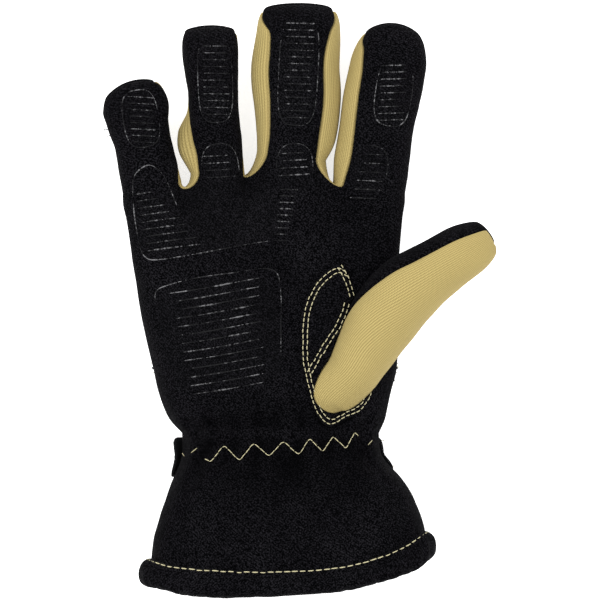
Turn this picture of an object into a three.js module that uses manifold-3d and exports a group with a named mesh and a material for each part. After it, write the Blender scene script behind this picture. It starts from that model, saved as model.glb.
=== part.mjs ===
// A firefighter's work glove for the right hand, lying on its back with the palm up.
// Fingers point along +Y, the thumb leaves towards +X, and the flat back rests on Z = 0.
// Every panel is a wall of cloth with edges of its own, so the glove is hollow from cuff to fingertips.
import * as THREE from "three";
import { mergeVertices } from "three/addons/utils/BufferGeometryUtils.js";
import Module from "manifold-3d";

const wasm = await Module();
wasm.setup();

// Cloth and seams, in millimetres
const wall = 3; // shell and bonded liner together
const seamGap = 0.3; // left open between two panels that are sewn together
const stripGap = 0.45; // the same between a side strip and its panels, measured round the finger

// Hand
const handLength = 130; // from the wrist gather to the knuckle line
const palmDepth = 46;
const knuckleDepth = 35;
const crownFade = 0.55; // share of the hand's length from which the palm's crown falls to the knuckles
const restFlat = 1.5; // how much of the back's roundness is pressed flat where it rests
const palmCentre = -2.5; // the middle of the knuckle line, in X
const bodySquareness = 2.7; // power of the superellipse: 2 is an ellipse

// Wrist, drawn in by an elastic gather
const wristPlace = -60; // the gather's Y
const wristWidth = 102.4;
const wristDepth = 36;
const wristLift = 5; // height of the wrist above the surface
const wristCentre = 6.2;
const gatherFolds = 7;
const gatherDepth = 2.2;
const gatherReach = { hand: 0.16, cuff: 0.62 }; // shares of each one's length, where the folds fade out
const gatherFade = 1.5; // power by which they do
const backGather = 0.5; // depth of the back's folds as a share of the palm side's

// Cuff
const cuffLength = 72; // from the wrist gather to the side ends of the hem
const cuffWidth = 146;
const cuffDepth = 60;
const cuffCentre = 10.5;
const hemSag = 9.5; // how far the middle of the hem hangs past its side ends
const hemTilt = 6; // degrees, the thumb's side being the shorter one
const hemHeight = 8.5;
const hemCloth = 2;

// Fingers, from the little finger to the index. Headings and tip rises bend them apart and upwards.
// cap is the share of the length that is rounded off, tip the share of width left at the very end, and
// rounded how far the tip's corners draw back from it. The same holds for the thumb.
const crotchWidth = 4.4;
const crotchDepth = 4.7;
const fingerHeight = 22; // of a finger's middle at its root
const fingerBend = 2;
const fingerSquareness = 2.3;
const backSeam = 46; // degrees below a finger's middle, where its side strip meets the back panel
const fingers = [
  {
    name: "little", length: 55.5, width: 31.5, depth: 27,
    forward: -2, heading: -9, rise: 9, cap: 0.3, tip: 0.66, rounded: 7,
  },
  {
    name: "ring", length: 76.5, width: 28, depth: 28,
    forward: 5.2, heading: -2.8, rise: 11, cap: 0.15, tip: 0.78, rounded: 3,
  },
  {
    name: "middle", length: 78.5, width: 37, depth: 31,
    forward: 14.6, heading: 1.2, rise: 12, cap: 0.15, tip: 0.7, rounded: 2.5,
  },
  {
    name: "index", length: 86, width: 38, depth: 31,
    forward: -2, heading: 8, rise: 11, cap: 0.26, tip: 0.56, rounded: 9,
  },
];

// Thumb: its root is placed by shares of the palm's half width and of the hand's length
const thumb = {
  length: 127, width: 43, depth: 37, heading: 43, rise: 22, bend: 1.2, cap: 0.16, tip: 0.6, rounded: 5,
};
const thumbRoot = { aside: 0.42, up: 0.08, sunk: 13 };
const thumbSquareness = 2.1;

// Pieces laid on the shell
const patchThickness = 1.2;
const patchSeat = 0.8; // above the palm's cloth, whose gathers the patch bridges
const patchReach = 54; // the longest arm of the crescent
const patchPivot = { aside: 0.68, up: 0.42 };
const strapWidth = 19;
const strapPlace = 2; // from the wrist gather to the strap
const strapThickness = 1.8;
const strapFlare = 0.8; // how far its free end stands off beside the little finger's edge
const flareColumns = 4; // columns of cloth over which it does
const backSplit = 0.26; // share of the hand's length at which the back's two panels meet

// Rows across the hand. spread: 0 is the wrist's width and 1 the knuckles'; shift: 0 is the wrist's
// centre and 1 the knuckles'; crown and lift: 0 is the wrist's top and bottom and 1 the palm's.
const handRows = [
  { at: 0, spread: 0, shift: 0, crown: 0, lift: 0 },
  { at: 0.05, spread: 0.2, shift: 0.18, crown: 0.15, lift: 0.3 },
  { at: 0.09, spread: 0.29, shift: 0.27, crown: 0.35, lift: 0.6 },
  { at: 0.17, spread: 0.42, shift: 0.35, crown: 0.7, lift: 1 },
  { at: 0.25, spread: 0.53, shift: 0.33, crown: 0.9, lift: 1 },
  { at: 0.37, spread: 0.63, shift: 0.5, crown: 1, lift: 1 },
  { at: 0.5, spread: 0.69, shift: 0.75, crown: 1, lift: 1 },
  { at: 0.73, spread: 0.83, shift: 0.92, crown: 0.8, lift: 1 },
  { at: 0.89, spread: 0.95, shift: 1, crown: 0.6, lift: 1 },
  { at: 1, spread: 1, shift: 1, crown: 0.5, lift: 1 },
];

// Rows of the cuff; spread, shift and open go from the wrist's size to the hem's
const cuffRows = [
  { at: 0, spread: 0, shift: 0, open: 0 },
  { at: 0.12, spread: 0.01, shift: 0.05, open: 0.08 },
  { at: 0.21, spread: 0.1, shift: 0.15, open: 0.2 },
  { at: 0.34, spread: 0.38, shift: 0.55, open: 0.46 },
  { at: 0.5, spread: 0.63, shift: 0.84, open: 0.68 },
  { at: 0.72, spread: 0.87, shift: 0.95, open: 0.88 },
  { at: 1, spread: 1, shift: 1, open: 1 },
];

// Sections along each finger. at: share of its length; drift and width: shares of its width; depth: share
// of its depth; left and right: degrees above its middle where the palm panel ends on that side;
// puffLeft and puffRight: how far the side strip swells, as a share of the width. A missing one is 0.
const fingerRows = {
  little: [
    { at: 0, drift: 0, width: 1, depth: 1, right: 24 },
    { at: 0.2, drift: -0.02, width: 0.97, depth: 1, right: 0 },
    { at: 0.42, drift: -0.03, width: 0.95, depth: 1, right: -6 },
    { at: 0.6, drift: -0.06, width: 1.02, depth: 1, right: -6 },
    { at: 0.78, drift: -0.07, width: 1.12, depth: 1, right: -4 },
    { at: 1, drift: -0.15, width: 1.06, depth: 0.9, right: 0 },
  ],
  ring: [
    { at: 0, drift: 0, width: 1, depth: 1, left: 46, right: 14, puffLeft: 0 },
    { at: 0.15, drift: 0.01, width: 0.95, depth: 1, left: 34, right: 0, puffLeft: 0.23 },
    { at: 0.3, drift: -0.01, width: 0.95, depth: 1, left: 16, right: -6, puffLeft: 0.24 },
    { at: 0.43, drift: -0.02, width: 0.94, depth: 1, left: 2, right: -6, puffLeft: 0.04 },
    { at: 0.58, drift: -0.02, width: 0.93, depth: 1, left: -4, right: -6, puffLeft: 0 },
    { at: 0.82, drift: -0.03, width: 1.04, depth: 1, left: -4, right: -4, puffLeft: 0 },
    { at: 1, drift: -0.02, width: 1.05, depth: 0.95, left: 0, right: 0, puffLeft: 0 },
  ],
  middle: [
    { at: 0, drift: 0.04, width: 0.97, depth: 1, left: 46, right: 44, puffLeft: 0, puffRight: 0 },
    { at: 0.14, drift: 0.08, width: 1.07, depth: 1, left: 50, right: 52, puffLeft: 0.01, puffRight: 0.055 },
    { at: 0.36, drift: 0.09, width: 1.17, depth: 1, left: 53, right: 51, puffLeft: 0.02, puffRight: 0.04 },
    { at: 0.56, drift: 0.07, width: 1.2, depth: 1, left: 53, right: 50, puffLeft: 0.02, puffRight: 0.02 },
    { at: 0.76, drift: 0.09, width: 1.18, depth: 1, left: 51, right: 48, puffLeft: 0.01, puffRight: 0.02 },
    { at: 0.9, drift: 0.09, width: 1.13, depth: 1, left: 42, right: 30, puffLeft: 0, puffRight: 0.02 },
    { at: 1, drift: 0.085, width: 1.1, depth: 0.92, left: 0, right: 0, puffLeft: 0, puffRight: 0 },
  ],
  index: [
    { at: 0, drift: 0, width: 1, depth: 1, left: 46, puffLeft: 0 },
    { at: 0.15, drift: 0.01, width: 1, depth: 1, left: 52, puffLeft: 0.05 },
    { at: 0.35, drift: 0, width: 0.98, depth: 1, left: 53, puffLeft: 0.03 },
    { at: 0.55, drift: 0.01, width: 1.03, depth: 1, left: 52, puffLeft: 0.02 },
    { at: 0.74, drift: 0.03, width: 1.04, depth: 1, left: 49, puffLeft: 0.01 },
    { at: 0.88, drift: 0.03, width: 0.98, depth: 1, left: 34, puffLeft: 0 },
    { at: 1, drift: 0.01, width: 0.94, depth: 0.92, left: 0, puffLeft: 0 },
  ],
};

// Sections along the thumb from the lobe that sits on the palm to its tip, in the same terms.
// seam: degrees round the thumb, from its outer side, to the edge between tan and black cloth.
const thumbRows = [
  { at: 0, drift: -0.04, width: 0.38, depth: 0.5, seam: 178 },
  { at: 0.06, drift: -0.1, width: 0.64, depth: 0.74, seam: 176 },
  { at: 0.2, drift: -0.1, width: 0.69, depth: 0.96, seam: 172 },
  { at: 0.34, drift: -0.18, width: 0.79, depth: 1.04, seam: 170 },
  { at: 0.46, drift: -0.25, width: 0.86, depth: 1.03, seam: 154 },
  { at: 0.6, drift: -0.27, width: 0.85, depth: 1, seam: 134 },
  { at: 0.78, drift: -0.185, width: 0.68, depth: 0.9, seam: 125 },
  { at: 1, drift: 0.02, width: 0.62, depth: 0.78, seam: 120 },
];

// The crescent's outer edge round the thumb's root. at: degrees from +X; reach: share of patchReach.
const patchRows = [
  { at: 103, reach: 0.57 },
  { at: 111, reach: 0.645 },
  { at: 123, reach: 0.64 },
  { at: 143, reach: 0.61 },
  { at: 173, reach: 0.58 },
  { at: 192, reach: 0.595 },
  { at: 216, reach: 0.69 },
  { at: 230, reach: 0.79 },
  { at: 242, reach: 0.925 },
  { at: 252, reach: 1 },
  { at: 260, reach: 0.9 },
  { at: 271, reach: 0.8 },
  { at: 283, reach: 0.6 },
];

// How finely the cloth is divided
const archSteps = 6; // across one finger's palm or back
const crotchSteps = 3; // round the bend between two fingers
const stripSteps = 3; // across a side strip
const fingerStations = [0, 0.14, 0.3, 0.46, 0.62, 0.76, 0.87, 0.96, 1];
const stripStations = fingerStations.slice(0, -1); // side strips end just short of the fingertip
const stripTaper = { from: 0.86, to: 0.99 }; // shares of a finger's length over which they run out
const handStations = [0, 0.05, 0.1, 0.17, 0.26, 0.38, 0.5, 0.62, 0.75, 0.86, 0.91, 0.96, 1];
const cuffStations = [0, 0.08, 0.17, 0.28, 0.42, 0.6, 0.8, 1];
const partingStart = 0.86; // share of the hand's length where the palm begins to part into fingers
const strapStations = [0, 0.5, 1];
const thumbSteps = 8; // across each of the thumb's panels
const thumbStations = 12;
const thumbSpacing = 1.35; // above 1, the divisions stand closer together towards the tip
const thumbEnd = 0.995; // where the solid that cuts the thumb's hole is capped
const patchSteps = 22;
const patchRings = [0.3, 0.65, 1]; // shares of the reach

const radians = THREE.MathUtils.degToRad;
const degrees = THREE.MathUtils.radToDeg;
const clamp = THREE.MathUtils.clamp;
const mix = THREE.MathUtils.lerp;
const smooth = (t) => THREE.MathUtils.smoothstep(t, 0, 1);
const signedPower = (value, exponent) => Math.sign(value) * Math.abs(value) ** exponent;

// Reads one column of a table at any place between its rows, on a smooth curve through them.
function readRow(rows, column, at) {
  const last = rows.length - 1;
  let i = 0;
  while (i < last - 1 && at > rows[i + 1].at) i++;
  const [a, b] = [rows[i], rows[i + 1]];
  const span = b.at - a.at;
  const t = clamp((at - a.at) / span, 0, 1);
  const value = (row) => row[column] ?? 0;
  const slope = (k) => {
    const [p, q] = [rows[Math.max(k - 1, 0)], rows[Math.min(k + 1, last)]];
    return ((value(q) - value(p)) / (q.at - p.at)) * span;
  };
  const [t2, t3] = [t * t, t * t * t];
  return (
    value(a) * (2 * t3 - 3 * t2 + 1) + slope(i) * (t3 - 2 * t2 + t) +
    value(b) * (3 * t2 - 2 * t3) + slope(i + 1) * (t3 - t2)
  );
}

// Fingers stand side by side on the knuckle line, with a crotch between each two.
const fingerSpan = fingers.reduce((sum, finger) => sum + finger.width, 0);
const knuckleSpan = fingerSpan + crotchWidth * (fingers.length - 1);
let leftEdge = palmCentre - knuckleSpan / 2;
for (const finger of fingers) {
  finger.rows = fingerRows[finger.name];
  finger.bend = fingerBend;
  finger.root = new THREE.Vector3(
    leftEdge + finger.width / 2, wristPlace + handLength + finger.forward, fingerHeight,
  );
  leftEdge += finger.width + crotchWidth;
}
const onPalm = ({ aside, up }) => [palmCentre + (aside * knuckleSpan) / 2, wristPlace + up * handLength];
thumb.rows = thumbRows;
thumb.root = new THREE.Vector3(...onPalm(thumbRoot), palmDepth - thumbRoot.sunk);

// The middle of a finger or thumb at a share of its length.
function tubeCentre(tube, along, inset) {
  const reach = (tube.length - Math.max(inset, 0)) * along;
  const side = readRow(tube.rows, "drift", along) * tube.width;
  const turn = radians(tube.heading);
  return tube.root.clone().add(new THREE.Vector3(
    reach * Math.sin(turn) + side * Math.cos(turn),
    reach * Math.cos(turn) - side * Math.sin(turn),
    tube.rise * along ** tube.bend,
  ));
}

// A point of a finger's or thumb's skin, or of its lining at a depth of inset below the skin.
// The angle runs from the right side, 0, over the palm side, 90, to the left side, 180.
function tubePoint(tube, along, angle, inset, squareness, puff = 0) {
  const step = 0.02; // to either side, to find the heading there
  const forward = tubeCentre(tube, Math.min(along + step, 1), inset)
    .sub(tubeCentre(tube, Math.max(along - step, 0), inset)).normalize();
  const right = forward.clone().cross(new THREE.Vector3(0, 0, 1)).normalize();
  const up = right.clone().cross(forward);
  const capped = Math.max(0, (along - (1 - tube.cap)) / tube.cap);
  const round = Math.sqrt(Math.max(0, 1 - capped * capped));
  const halfWidth = (readRow(tube.rows, "width", along) * tube.width) / 2 - inset;
  const halfDepth = (readRow(tube.rows, "depth", along) * tube.depth) / 2 - inset;
  const power = 2 / squareness;
  const wide = (halfWidth * mix(tube.tip, 1, round) + puff) * signedPower(Math.cos(radians(angle)), power);
  const high = halfDepth * round * signedPower(Math.sin(radians(angle)), power);
  const cornerBack = tube.rounded * (1 - round) * (wide / halfWidth) ** 2;
  return tubeCentre(tube, along, inset)
    .addScaledVector(forward, -cornerBack).addScaledVector(right, wide).addScaledVector(up, high);
}

// Where a finger's palm panel (side 1) or back panel (side -1) ends on its right and left, in degrees.
// Strips of tan cloth lie between the two on the sides that face another finger, and taper out at the tip.
function seams(index, along, side) {
  const taper = 1 - THREE.MathUtils.smoothstep(along, stripTaper.from, stripTaper.to);
  const seam = (column) => (side > 0 ? readRow(fingers[index].rows, column, along) : -backSeam) * taper;
  const right = index < fingers.length - 1 ? seam("right") : 0;
  const left = index > 0 ? seam("left") : 0;
  return { right, left: 180 - left };
}

// The palm's cloth lies one gap above the back's all along their side seams.
const liftOf = (side) => (side > 0 ? seamGap : 0);

// A point on a finger's palm or back panel: across runs from its left seam, 0, to its right seam, 1.
function archPoint(index, along, across, side, inset) {
  const { left, right } = seams(index, along, side);
  const angle = mix(left, side > 0 ? right : 360 + right, across);
  const point = tubePoint(fingers[index], along, angle, inset, fingerSquareness);
  point.z += liftOf(side);
  return point;
}

// A point on a finger's side strip: across runs from the back panel's seam, 0, to the palm panel's, 1.
function stripPoint(index, along, across, sideName, inset) {
  const finger = fingers[index];
  const [palm, back] = [seams(index, along, 1), seams(index, along, -1)];
  const trim = degrees(stripGap / (finger.depth / 2 - wall)) * (sideName === "right" ? 1 : -1);
  const angle = mix(back[sideName] + trim, palm[sideName] - trim, across);
  const swell = readRow(finger.rows, sideName === "right" ? "puffRight" : "puffLeft", along) * finger.width;
  return tubePoint(finger, along, angle, inset, fingerSquareness, swell * Math.sin(Math.PI * across));
}

// The bend of cloth at the bottom of the gap between two fingers, from a point on the left finger,
// round half an ellipse, to a point on the right one.
function bendPoint(from, to, turn, inset) {
  const point = from.clone().lerp(to, (1 - Math.cos(Math.PI * turn)) / 2);
  point.y -= (crotchDepth + inset) * Math.sin(Math.PI * turn);
  return point;
}

// The edge along which the hand meets fingers and crotches, as one row of points from left to right.
function knuckleRow(side, inset) {
  const row = [];
  fingers.forEach((finger, index) => {
    for (let k = 0; k <= archSteps; k++) row.push(archPoint(index, 0, k / archSteps, side, inset));
    if (index === fingers.length - 1) return;
    const [from, to] = [row.at(-1), archPoint(index + 1, 0, 0, side, inset)];
    for (let k = 1; k < crotchSteps; k++) row.push(bendPoint(from, to, k / crotchSteps, inset));
  });
  return row;
}
const columns = fingers.length * archSteps + (fingers.length - 1) * crotchSteps;

// The cross-section of hand or cuff. Place 1 is the knuckle line, 0 the wrist gather and -1 the hem.
function section(place) {
  const read = (column) => readRow(place > 0 ? handRows : cuffRows, column, Math.abs(place));
  const wristTop = wristLift + wristDepth;
  if (place > 0) {
    const knuckleTop = fingerHeight + knuckleDepth / 2;
    return {
      y: wristPlace + handLength * place,
      centre: mix(wristCentre, palmCentre, read("shift")),
      half: mix(wristWidth, knuckleSpan, read("spread")) / 2,
      top: mix(
        mix(wristTop, palmDepth, read("crown")), knuckleTop, THREE.MathUtils.smoothstep(place, crownFade, 1),
      ),
      bottom: mix(wristLift, -restFlat, read("lift")),
      seam: fingerHeight,
      floor: 0,
    };
  }
  const hemFloor = hemCloth + seamGap;
  return {
    y: wristPlace + cuffLength * place,
    centre: mix(wristCentre, cuffCentre, read("shift")),
    half: mix(wristWidth, cuffWidth, read("spread")) / 2,
    top: mix(wristTop, cuffDepth, read("open")),
    bottom: mix(wristLift, hemFloor - restFlat, read("open")),
    seam: mix(fingerHeight, cuffDepth / 2, read("open")),
    floor: mix(0, hemFloor, clamp(-place / (1 - hemHeight / cuffLength), 0, 1)),
  };
}

// How far a gather fold stands out at a share of the way across, strongest at the wrist.
function gather(across, place) {
  const reach = place > 0 ? gatherReach.hand : gatherReach.cuff;
  const strength = Math.max(0, 1 - Math.abs(place) / reach) ** gatherFade;
  return gatherDepth * strength * Math.cos(2 * Math.PI * gatherFolds * across);
}

// The angle round the hand's section at which each column of cloth lies: evenly spread at the wrist,
// and matched to the points of the knuckle row at the other end.
const columnAngles = new Map([1, -1].map((side) => {
  const { centre, half } = section(1);
  const angles = knuckleRow(side, 0).map((point, k) => {
    const even = Math.PI * (1 - k / columns);
    const share = clamp((point.x - centre) / half, -1, 1);
    const outermost = k === 0 || k === columns;
    return { even, matched: outermost ? even : Math.acos(signedPower(share, bodySquareness / 2)) };
  });
  return [side, angles];
}));

// A point of the hand's or cuff's skin or lining, in a column of its palm side (1) or back (-1).
// The back is flattened where it rests.
function bodyPoint(place, column, side, inset) {
  const part = section(place);
  const { even, matched } = columnAngles.get(side)[column];
  const angle = mix(even, matched, smooth(clamp(place, 0, 1)));
  const wide = signedPower(Math.cos(angle), 2 / bodySquareness);
  const high = Math.sin(angle) ** (2 / bodySquareness);
  const reach = side > 0 ? part.top - part.seam : part.seam - part.bottom;
  const fold = high * gather(column / columns, place) * (side > 0 ? 1 : backGather);
  const below = Math.max(-place, 0);
  return new THREE.Vector3(
    part.centre + (part.half - inset) * wide,
    part.y - below * hemSag * (1 - wide * wide) + below * Math.tan(radians(hemTilt)) * part.half * wide,
    Math.max(part.seam + side * ((reach - inset) * high + fold), part.floor + inset) + liftOf(side),
  );
}

// The same, but near the knuckles the skin dips towards the knuckle row, which parts into fingers.
function handPoint(place, column, side, inset, knuckles) {
  const plain = bodyPoint(place, column, side, inset);
  if (place <= partingStart) return plain;
  const share = (place - partingStart) / (1 - partingStart);
  const knuckle = knuckles[column];
  return new THREE.Vector3(
    mix(plain.x, knuckle.x, smooth(share)),
    mix(section(partingStart).y, knuckle.y, share),
    mix(plain.z, knuckle.z, smooth(share)),
  );
}

// Height of the palm's skin above the surface on which the glove lies.
function palmHeight(x, y) {
  const place = clamp((y - wristPlace) / handLength, 0, 1);
  const part = section(place);
  const wide = clamp((x - part.centre) / part.half, -1, 1);
  const angle = Math.acos(signedPower(wide, bodySquareness / 2));
  const high = Math.sin(angle) ** (2 / bodySquareness);
  return part.seam + high * (part.top - part.seam + gather(1 - angle / Math.PI, place)) + liftOf(1);
}

// A manifold solid from points and triangles, turned right side out.
function solidFrom(points, triangles) {
  const build = (index) => {
    const loose = new THREE.BufferGeometry();
    loose.setAttribute("position", new THREE.Float32BufferAttribute(points, 3));
    loose.setIndex(index);
    const geometry = mergeVertices(loose, 1e-4);
    return new wasm.Manifold(new wasm.Mesh({
      numProp: 3,
      vertProperties: geometry.getAttribute("position").array,
      triVerts: new Uint32Array(geometry.index.array),
    }));
  };
  const solid = build(triangles);
  return solid.volume() > 0 ? solid : build(triangles.toReversed());
}

const coordinates = (points) => points.flatMap((point) => [point.x, point.y, point.z]);

// Turns patches of cloth into one closed solid. A patch is a grid of points given by at(i, j, inset).
// Points of two patches that coincide are sewn together, and each edge that only one face uses
// gets a rim between skin and lining.
function clothSolid(patches, thickness = wall) {
  const [skin, lining, faces, known] = [[], [], [], new Map()];
  for (const { across, along, at } of patches) {
    const grid = [];
    for (let j = 0; j <= along; j++) {
      for (let i = 0; i <= across; i++) {
        const outer = at(i, j, 0);
        const key = outer.toArray().map((value) => Math.round(value * 1000)).join();
        if (!known.has(key)) {
          known.set(key, skin.length);
          skin.push(outer);
          lining.push(at(i, j, thickness));
        }
        grid.push(known.get(key));
      }
    }
    for (let j = 0; j < along; j++) {
      for (let i = 0; i < across; i++) {
        const corner = j * (across + 1) + i;
        const [p, q] = [grid[corner], grid[corner + 1]];
        const [s, r] = [grid[corner + across + 1], grid[corner + across + 2]];
        faces.push([p, q, r], [p, r, s]);
      }
    }
  }
  const whole = faces.filter(([a, b, c]) => a !== b && b !== c && c !== a);
  const edgesOf = ([a, b, c]) => [[a, b], [b, c], [c, a]];
  const edges = new Set(whole.flatMap((face) => edgesOf(face).map(String)));
  const count = skin.length;
  const triangles = [];
  for (const face of whole) {
    const [a, b, c] = face;
    triangles.push(a, b, c, c + count, b + count, a + count);
    for (const [u, v] of edgesOf(face)) {
      if (!edges.has(String([v, u]))) triangles.push(v, u, u + count, v, u + count, v + count);
    }
  }
  return solidFrom(coordinates([...skin, ...lining]), triangles);
}

// Faces between closed rings of points that follow one another.
function ringFaces(size, from, to) {
  const faces = [];
  for (let i = 0; i < size; i++) {
    const next = (i + 1) % size;
    faces.push(from + i, from + next, to + next, from + i, to + next, to + i);
  }
  return faces;
}

// A solid through closed rings of points, with a fan of faces over each end.
function ringSolid(rings) {
  const size = rings[0].length;
  const points = rings.flat();
  const triangles = rings.slice(1).flatMap((_, j) => ringFaces(size, j * size, (j + 1) * size));
  [rings[0], rings.at(-1)].forEach((ring, end) => {
    const middle = ring.reduce((sum, p) => sum.add(p), new THREE.Vector3()).divideScalar(size);
    const hub = points.push(middle) - 1;
    const start = end * (rings.length - 1) * size;
    for (let i = 0; i < size; i++) {
      const [a, b] = [start + i, start + ((i + 1) % size)];
      triangles.push(hub, ...(end === 0 ? [b, a] : [a, b]));
    }
  });
  return solidFrom(coordinates(points), triangles);
}

// A solid through rings that follow one another round a closed loop.
function loopSolid(rings) {
  const size = rings[0].length;
  const triangles = rings.flatMap((_, j) => ringFaces(size, j * size, ((j + 1) % rings.length) * size));
  return solidFrom(coordinates(rings.flat()), triangles);
}

function largest(solid) {
  return solid.decompose().reduce((best, body) => (body.volume() > best.volume() ? body : best));
}

// A panel that runs over the hand and on over each finger, on the palm side (1) or the back (-1).
function handPanel(side, places) {
  const knuckles = new Map([0, wall].map((inset) => [inset, knuckleRow(side, inset)]));
  const hand = {
    across: columns,
    along: places.length - 1,
    at: (i, j, inset) => handPoint(places[j], i, side, inset, knuckles.get(inset)),
  };
  const stalls = fingers.map((finger, index) => ({
    across: archSteps,
    along: fingerStations.length - 1,
    at: (i, j, inset) => archPoint(index, fingerStations[j], i / archSteps, side, inset),
  }));
  return clothSolid([hand, ...stalls]);
}

// The back of the wrist and cuff, up to the seam with the back of the hand.
function backCuff() {
  const end = backSplit - seamGap / handLength;
  const places = [...cuffPlaces, ...handStations.filter((place) => place > 0 && place < end), end];
  const at = (i, j, inset) => bodyPoint(places[j], i, -1, inset);
  return clothSolid([{ across: columns, along: places.length - 1, at }]);
}

// A tan strip that runs down one finger's side, round the crotch and up the next finger's side.
function fourchette(index) {
  const last = stripStations.length - 1;
  const at = (i, j, inset) => {
    const across = i / stripSteps;
    if (j <= last) return stripPoint(index, stripStations[last - j], across, "right", inset);
    const up = j - last - crotchSteps;
    if (up >= 0) return stripPoint(index + 1, stripStations[up], across, "left", inset);
    const from = stripPoint(index, 0, across, "right", inset);
    const to = stripPoint(index + 1, 0, across, "left", inset);
    return bendPoint(from, to, (j - last) / crotchSteps, inset);
  };
  return clothSolid([{ across: stripSteps, along: 2 * last + crotchSteps, at }]);
}

// Shares of the thumb's length at which it is divided, closer together towards the tip.
const thumbPlaces = Array.from(
  { length: thumbStations + 1 }, (_, j) => 1 - (1 - j / thumbStations) ** thumbSpacing,
);

// Half of the thumb's skin: the tan side (1), or the black side that faces the fingers (-1).
function thumbPanel(side, root) {
  const seamOf = (along) => readRow(thumb.rows, "seam", along);
  const facing = radians(seamOf(0.5) + 90); // square to the seam, halfway along the thumb
  const turn = radians(thumb.heading);
  const apart = new THREE.Vector3(
    Math.cos(facing) * Math.cos(turn), -Math.cos(facing) * Math.sin(turn), Math.sin(facing),
  ).multiplyScalar(side > 0 ? 0 : seamGap);
  const at = (i, j, inset) => {
    const along = thumbPlaces[j];
    const angle = seamOf(along) - side * (180 * i) / thumbSteps;
    return tubePoint(thumb, along, angle, inset, thumbSquareness).add(apart);
  };
  return largest(clothSolid([{ across: thumbSteps, along: thumbStations, at }]).subtract(root));
}

// The whole thumb as one solid, inset from its skin, to cut holes with.
function thumbSolid(inset) {
  const rings = thumbPlaces.map((place) => Array.from({ length: 2 * thumbSteps }, (_, i) => {
    const along = Math.min(place, thumbEnd);
    const angle = readRow(thumb.rows, "seam", along) + (180 * i) / thumbSteps;
    return tubePoint(thumb, along, angle, inset, thumbSquareness);
  }));
  return ringSolid(rings);
}

// The outside of the hand as one solid, grown by a gap, to trim what sits on it.
function handSolid(grow) {
  const rows = [1, -1].map((side) => knuckleRow(side, -grow));
  const rings = handStations.map((place) => {
    const front = rows[0].map((_, k) => handPoint(place, k, 1, -grow, rows[0]));
    const back = rows[1].map((_, k) => handPoint(place, k, -1, -grow, rows[1]));
    return [...front, ...back.toReversed()];
  });
  return ringSolid(rings);
}

// The black crescent sewn to the palm round the thumb's root.
function thumbPatch(thumbGrown) {
  const [first, last] = [patchRows[0].at, patchRows.at(-1).at];
  const pivot = onPalm(patchPivot);
  const at = (i, j, inset) => {
    const turn = mix(last, first, i / patchSteps);
    const reach = patchReach * readRow(patchRows, "reach", turn) * patchRings[j];
    const x = pivot[0] + reach * Math.cos(radians(turn));
    const y = pivot[1] + reach * Math.sin(radians(turn));
    return new THREE.Vector3(x, y, palmHeight(x, y) + patchSeat + patchThickness - inset);
  };
  const cloth = clothSolid([{ across: patchSteps, along: patchRings.length - 1, at }], patchThickness);
  return largest(cloth.subtract(thumbGrown));
}

// The folded band that binds the cuff's edge, with a slot that takes the cloth.
function cuffHem() {
  const out = hemCloth + seamGap;
  const profile = [
    [seamGap, hemHeight],
    [out, hemHeight],
    [out, 0],
    [-wall / 2, -hemCloth - seamGap],
    [-wall - out, 0],
    [-wall - out, hemHeight],
    [-wall - seamGap, hemHeight],
    [-wall - seamGap, -seamGap],
    [seamGap, -seamGap],
  ];
  const front = Array.from({ length: columns + 1 }, (_, column) => ({ column, side: 1 }));
  const back = front.map(({ column }) => ({ column, side: -1 })).toReversed();
  const rings = [...front, ...back].map(({ column, side }) => (
    profile.map(([outwards, upwards]) => bodyPoint(upwards / cuffLength - 1, column, side, -outwards))
  ));
  return loopSolid(rings);
}

// The strap across the back of the wrist, whose free end stands off beside the little finger's edge.
function wristStrap() {
  const at = (i, j, inset) => {
    const flare = strapFlare * Math.max(0, 1 - i / flareColumns) ** 2;
    const place = -(strapPlace + strapWidth * (1 - strapStations[j])) / cuffLength;
    return bodyPoint(place, i, -1, inset - seamGap - strapThickness - flare);
  };
  return clothSolid([{ across: columns, along: strapStations.length - 1, at }], strapThickness);
}

const cloth = (color, roughness) => new THREE.MeshStandardMaterial({ color, roughness, metalness: 0 });
const blackKnit = cloth(0x17171b, 0.95);
const tanKnit = cloth(0xd3c082, 0.9);
const blackWeb = cloth(0x101013, 0.85);

const glove = new THREE.Group();
function add(name, solid, material) {
  const { vertProperties, triVerts } = solid.getMesh();
  const geometry = new THREE.BufferGeometry();
  geometry.setAttribute("position", new THREE.BufferAttribute(vertProperties, 3));
  geometry.setIndex(new THREE.BufferAttribute(triVerts, 1));
  geometry.computeVertexNormals();
  const mesh = new THREE.Mesh(geometry, material);
  mesh.name = name;
  glove.add(mesh);
}

const cuffPlaces = cuffStations.map((share) => -share).reverse();
const hand = handSolid(seamGap);

const palm = handPanel(1, [...cuffPlaces, ...handStations.slice(1)]);

add("palm_panel", largest(palm.subtract(thumbSolid(wall))), blackKnit);
const backPlaces = [backSplit, ...handStations.filter((place) => place > backSplit)];
add("back_panel", handPanel(-1, backPlaces), blackKnit);
add("back_cuff", backCuff(), blackKnit);
fingers.slice(1).forEach((finger, k) => {
  add(`fourchette_${fingers[k].name}_${finger.name}`, fourchette(k), tanKnit);
});
add("thumb_back", thumbPanel(1, hand), tanKnit);
add("thumb_front", thumbPanel(-1, hand), blackKnit);
add("thumb_patch", thumbPatch(thumbSolid(-2 * seamGap)), blackKnit);
add("cuff_hem", cuffHem(), blackKnit);
add("wrist_strap", wristStrap(), blackWeb);

export default glove;
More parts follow.
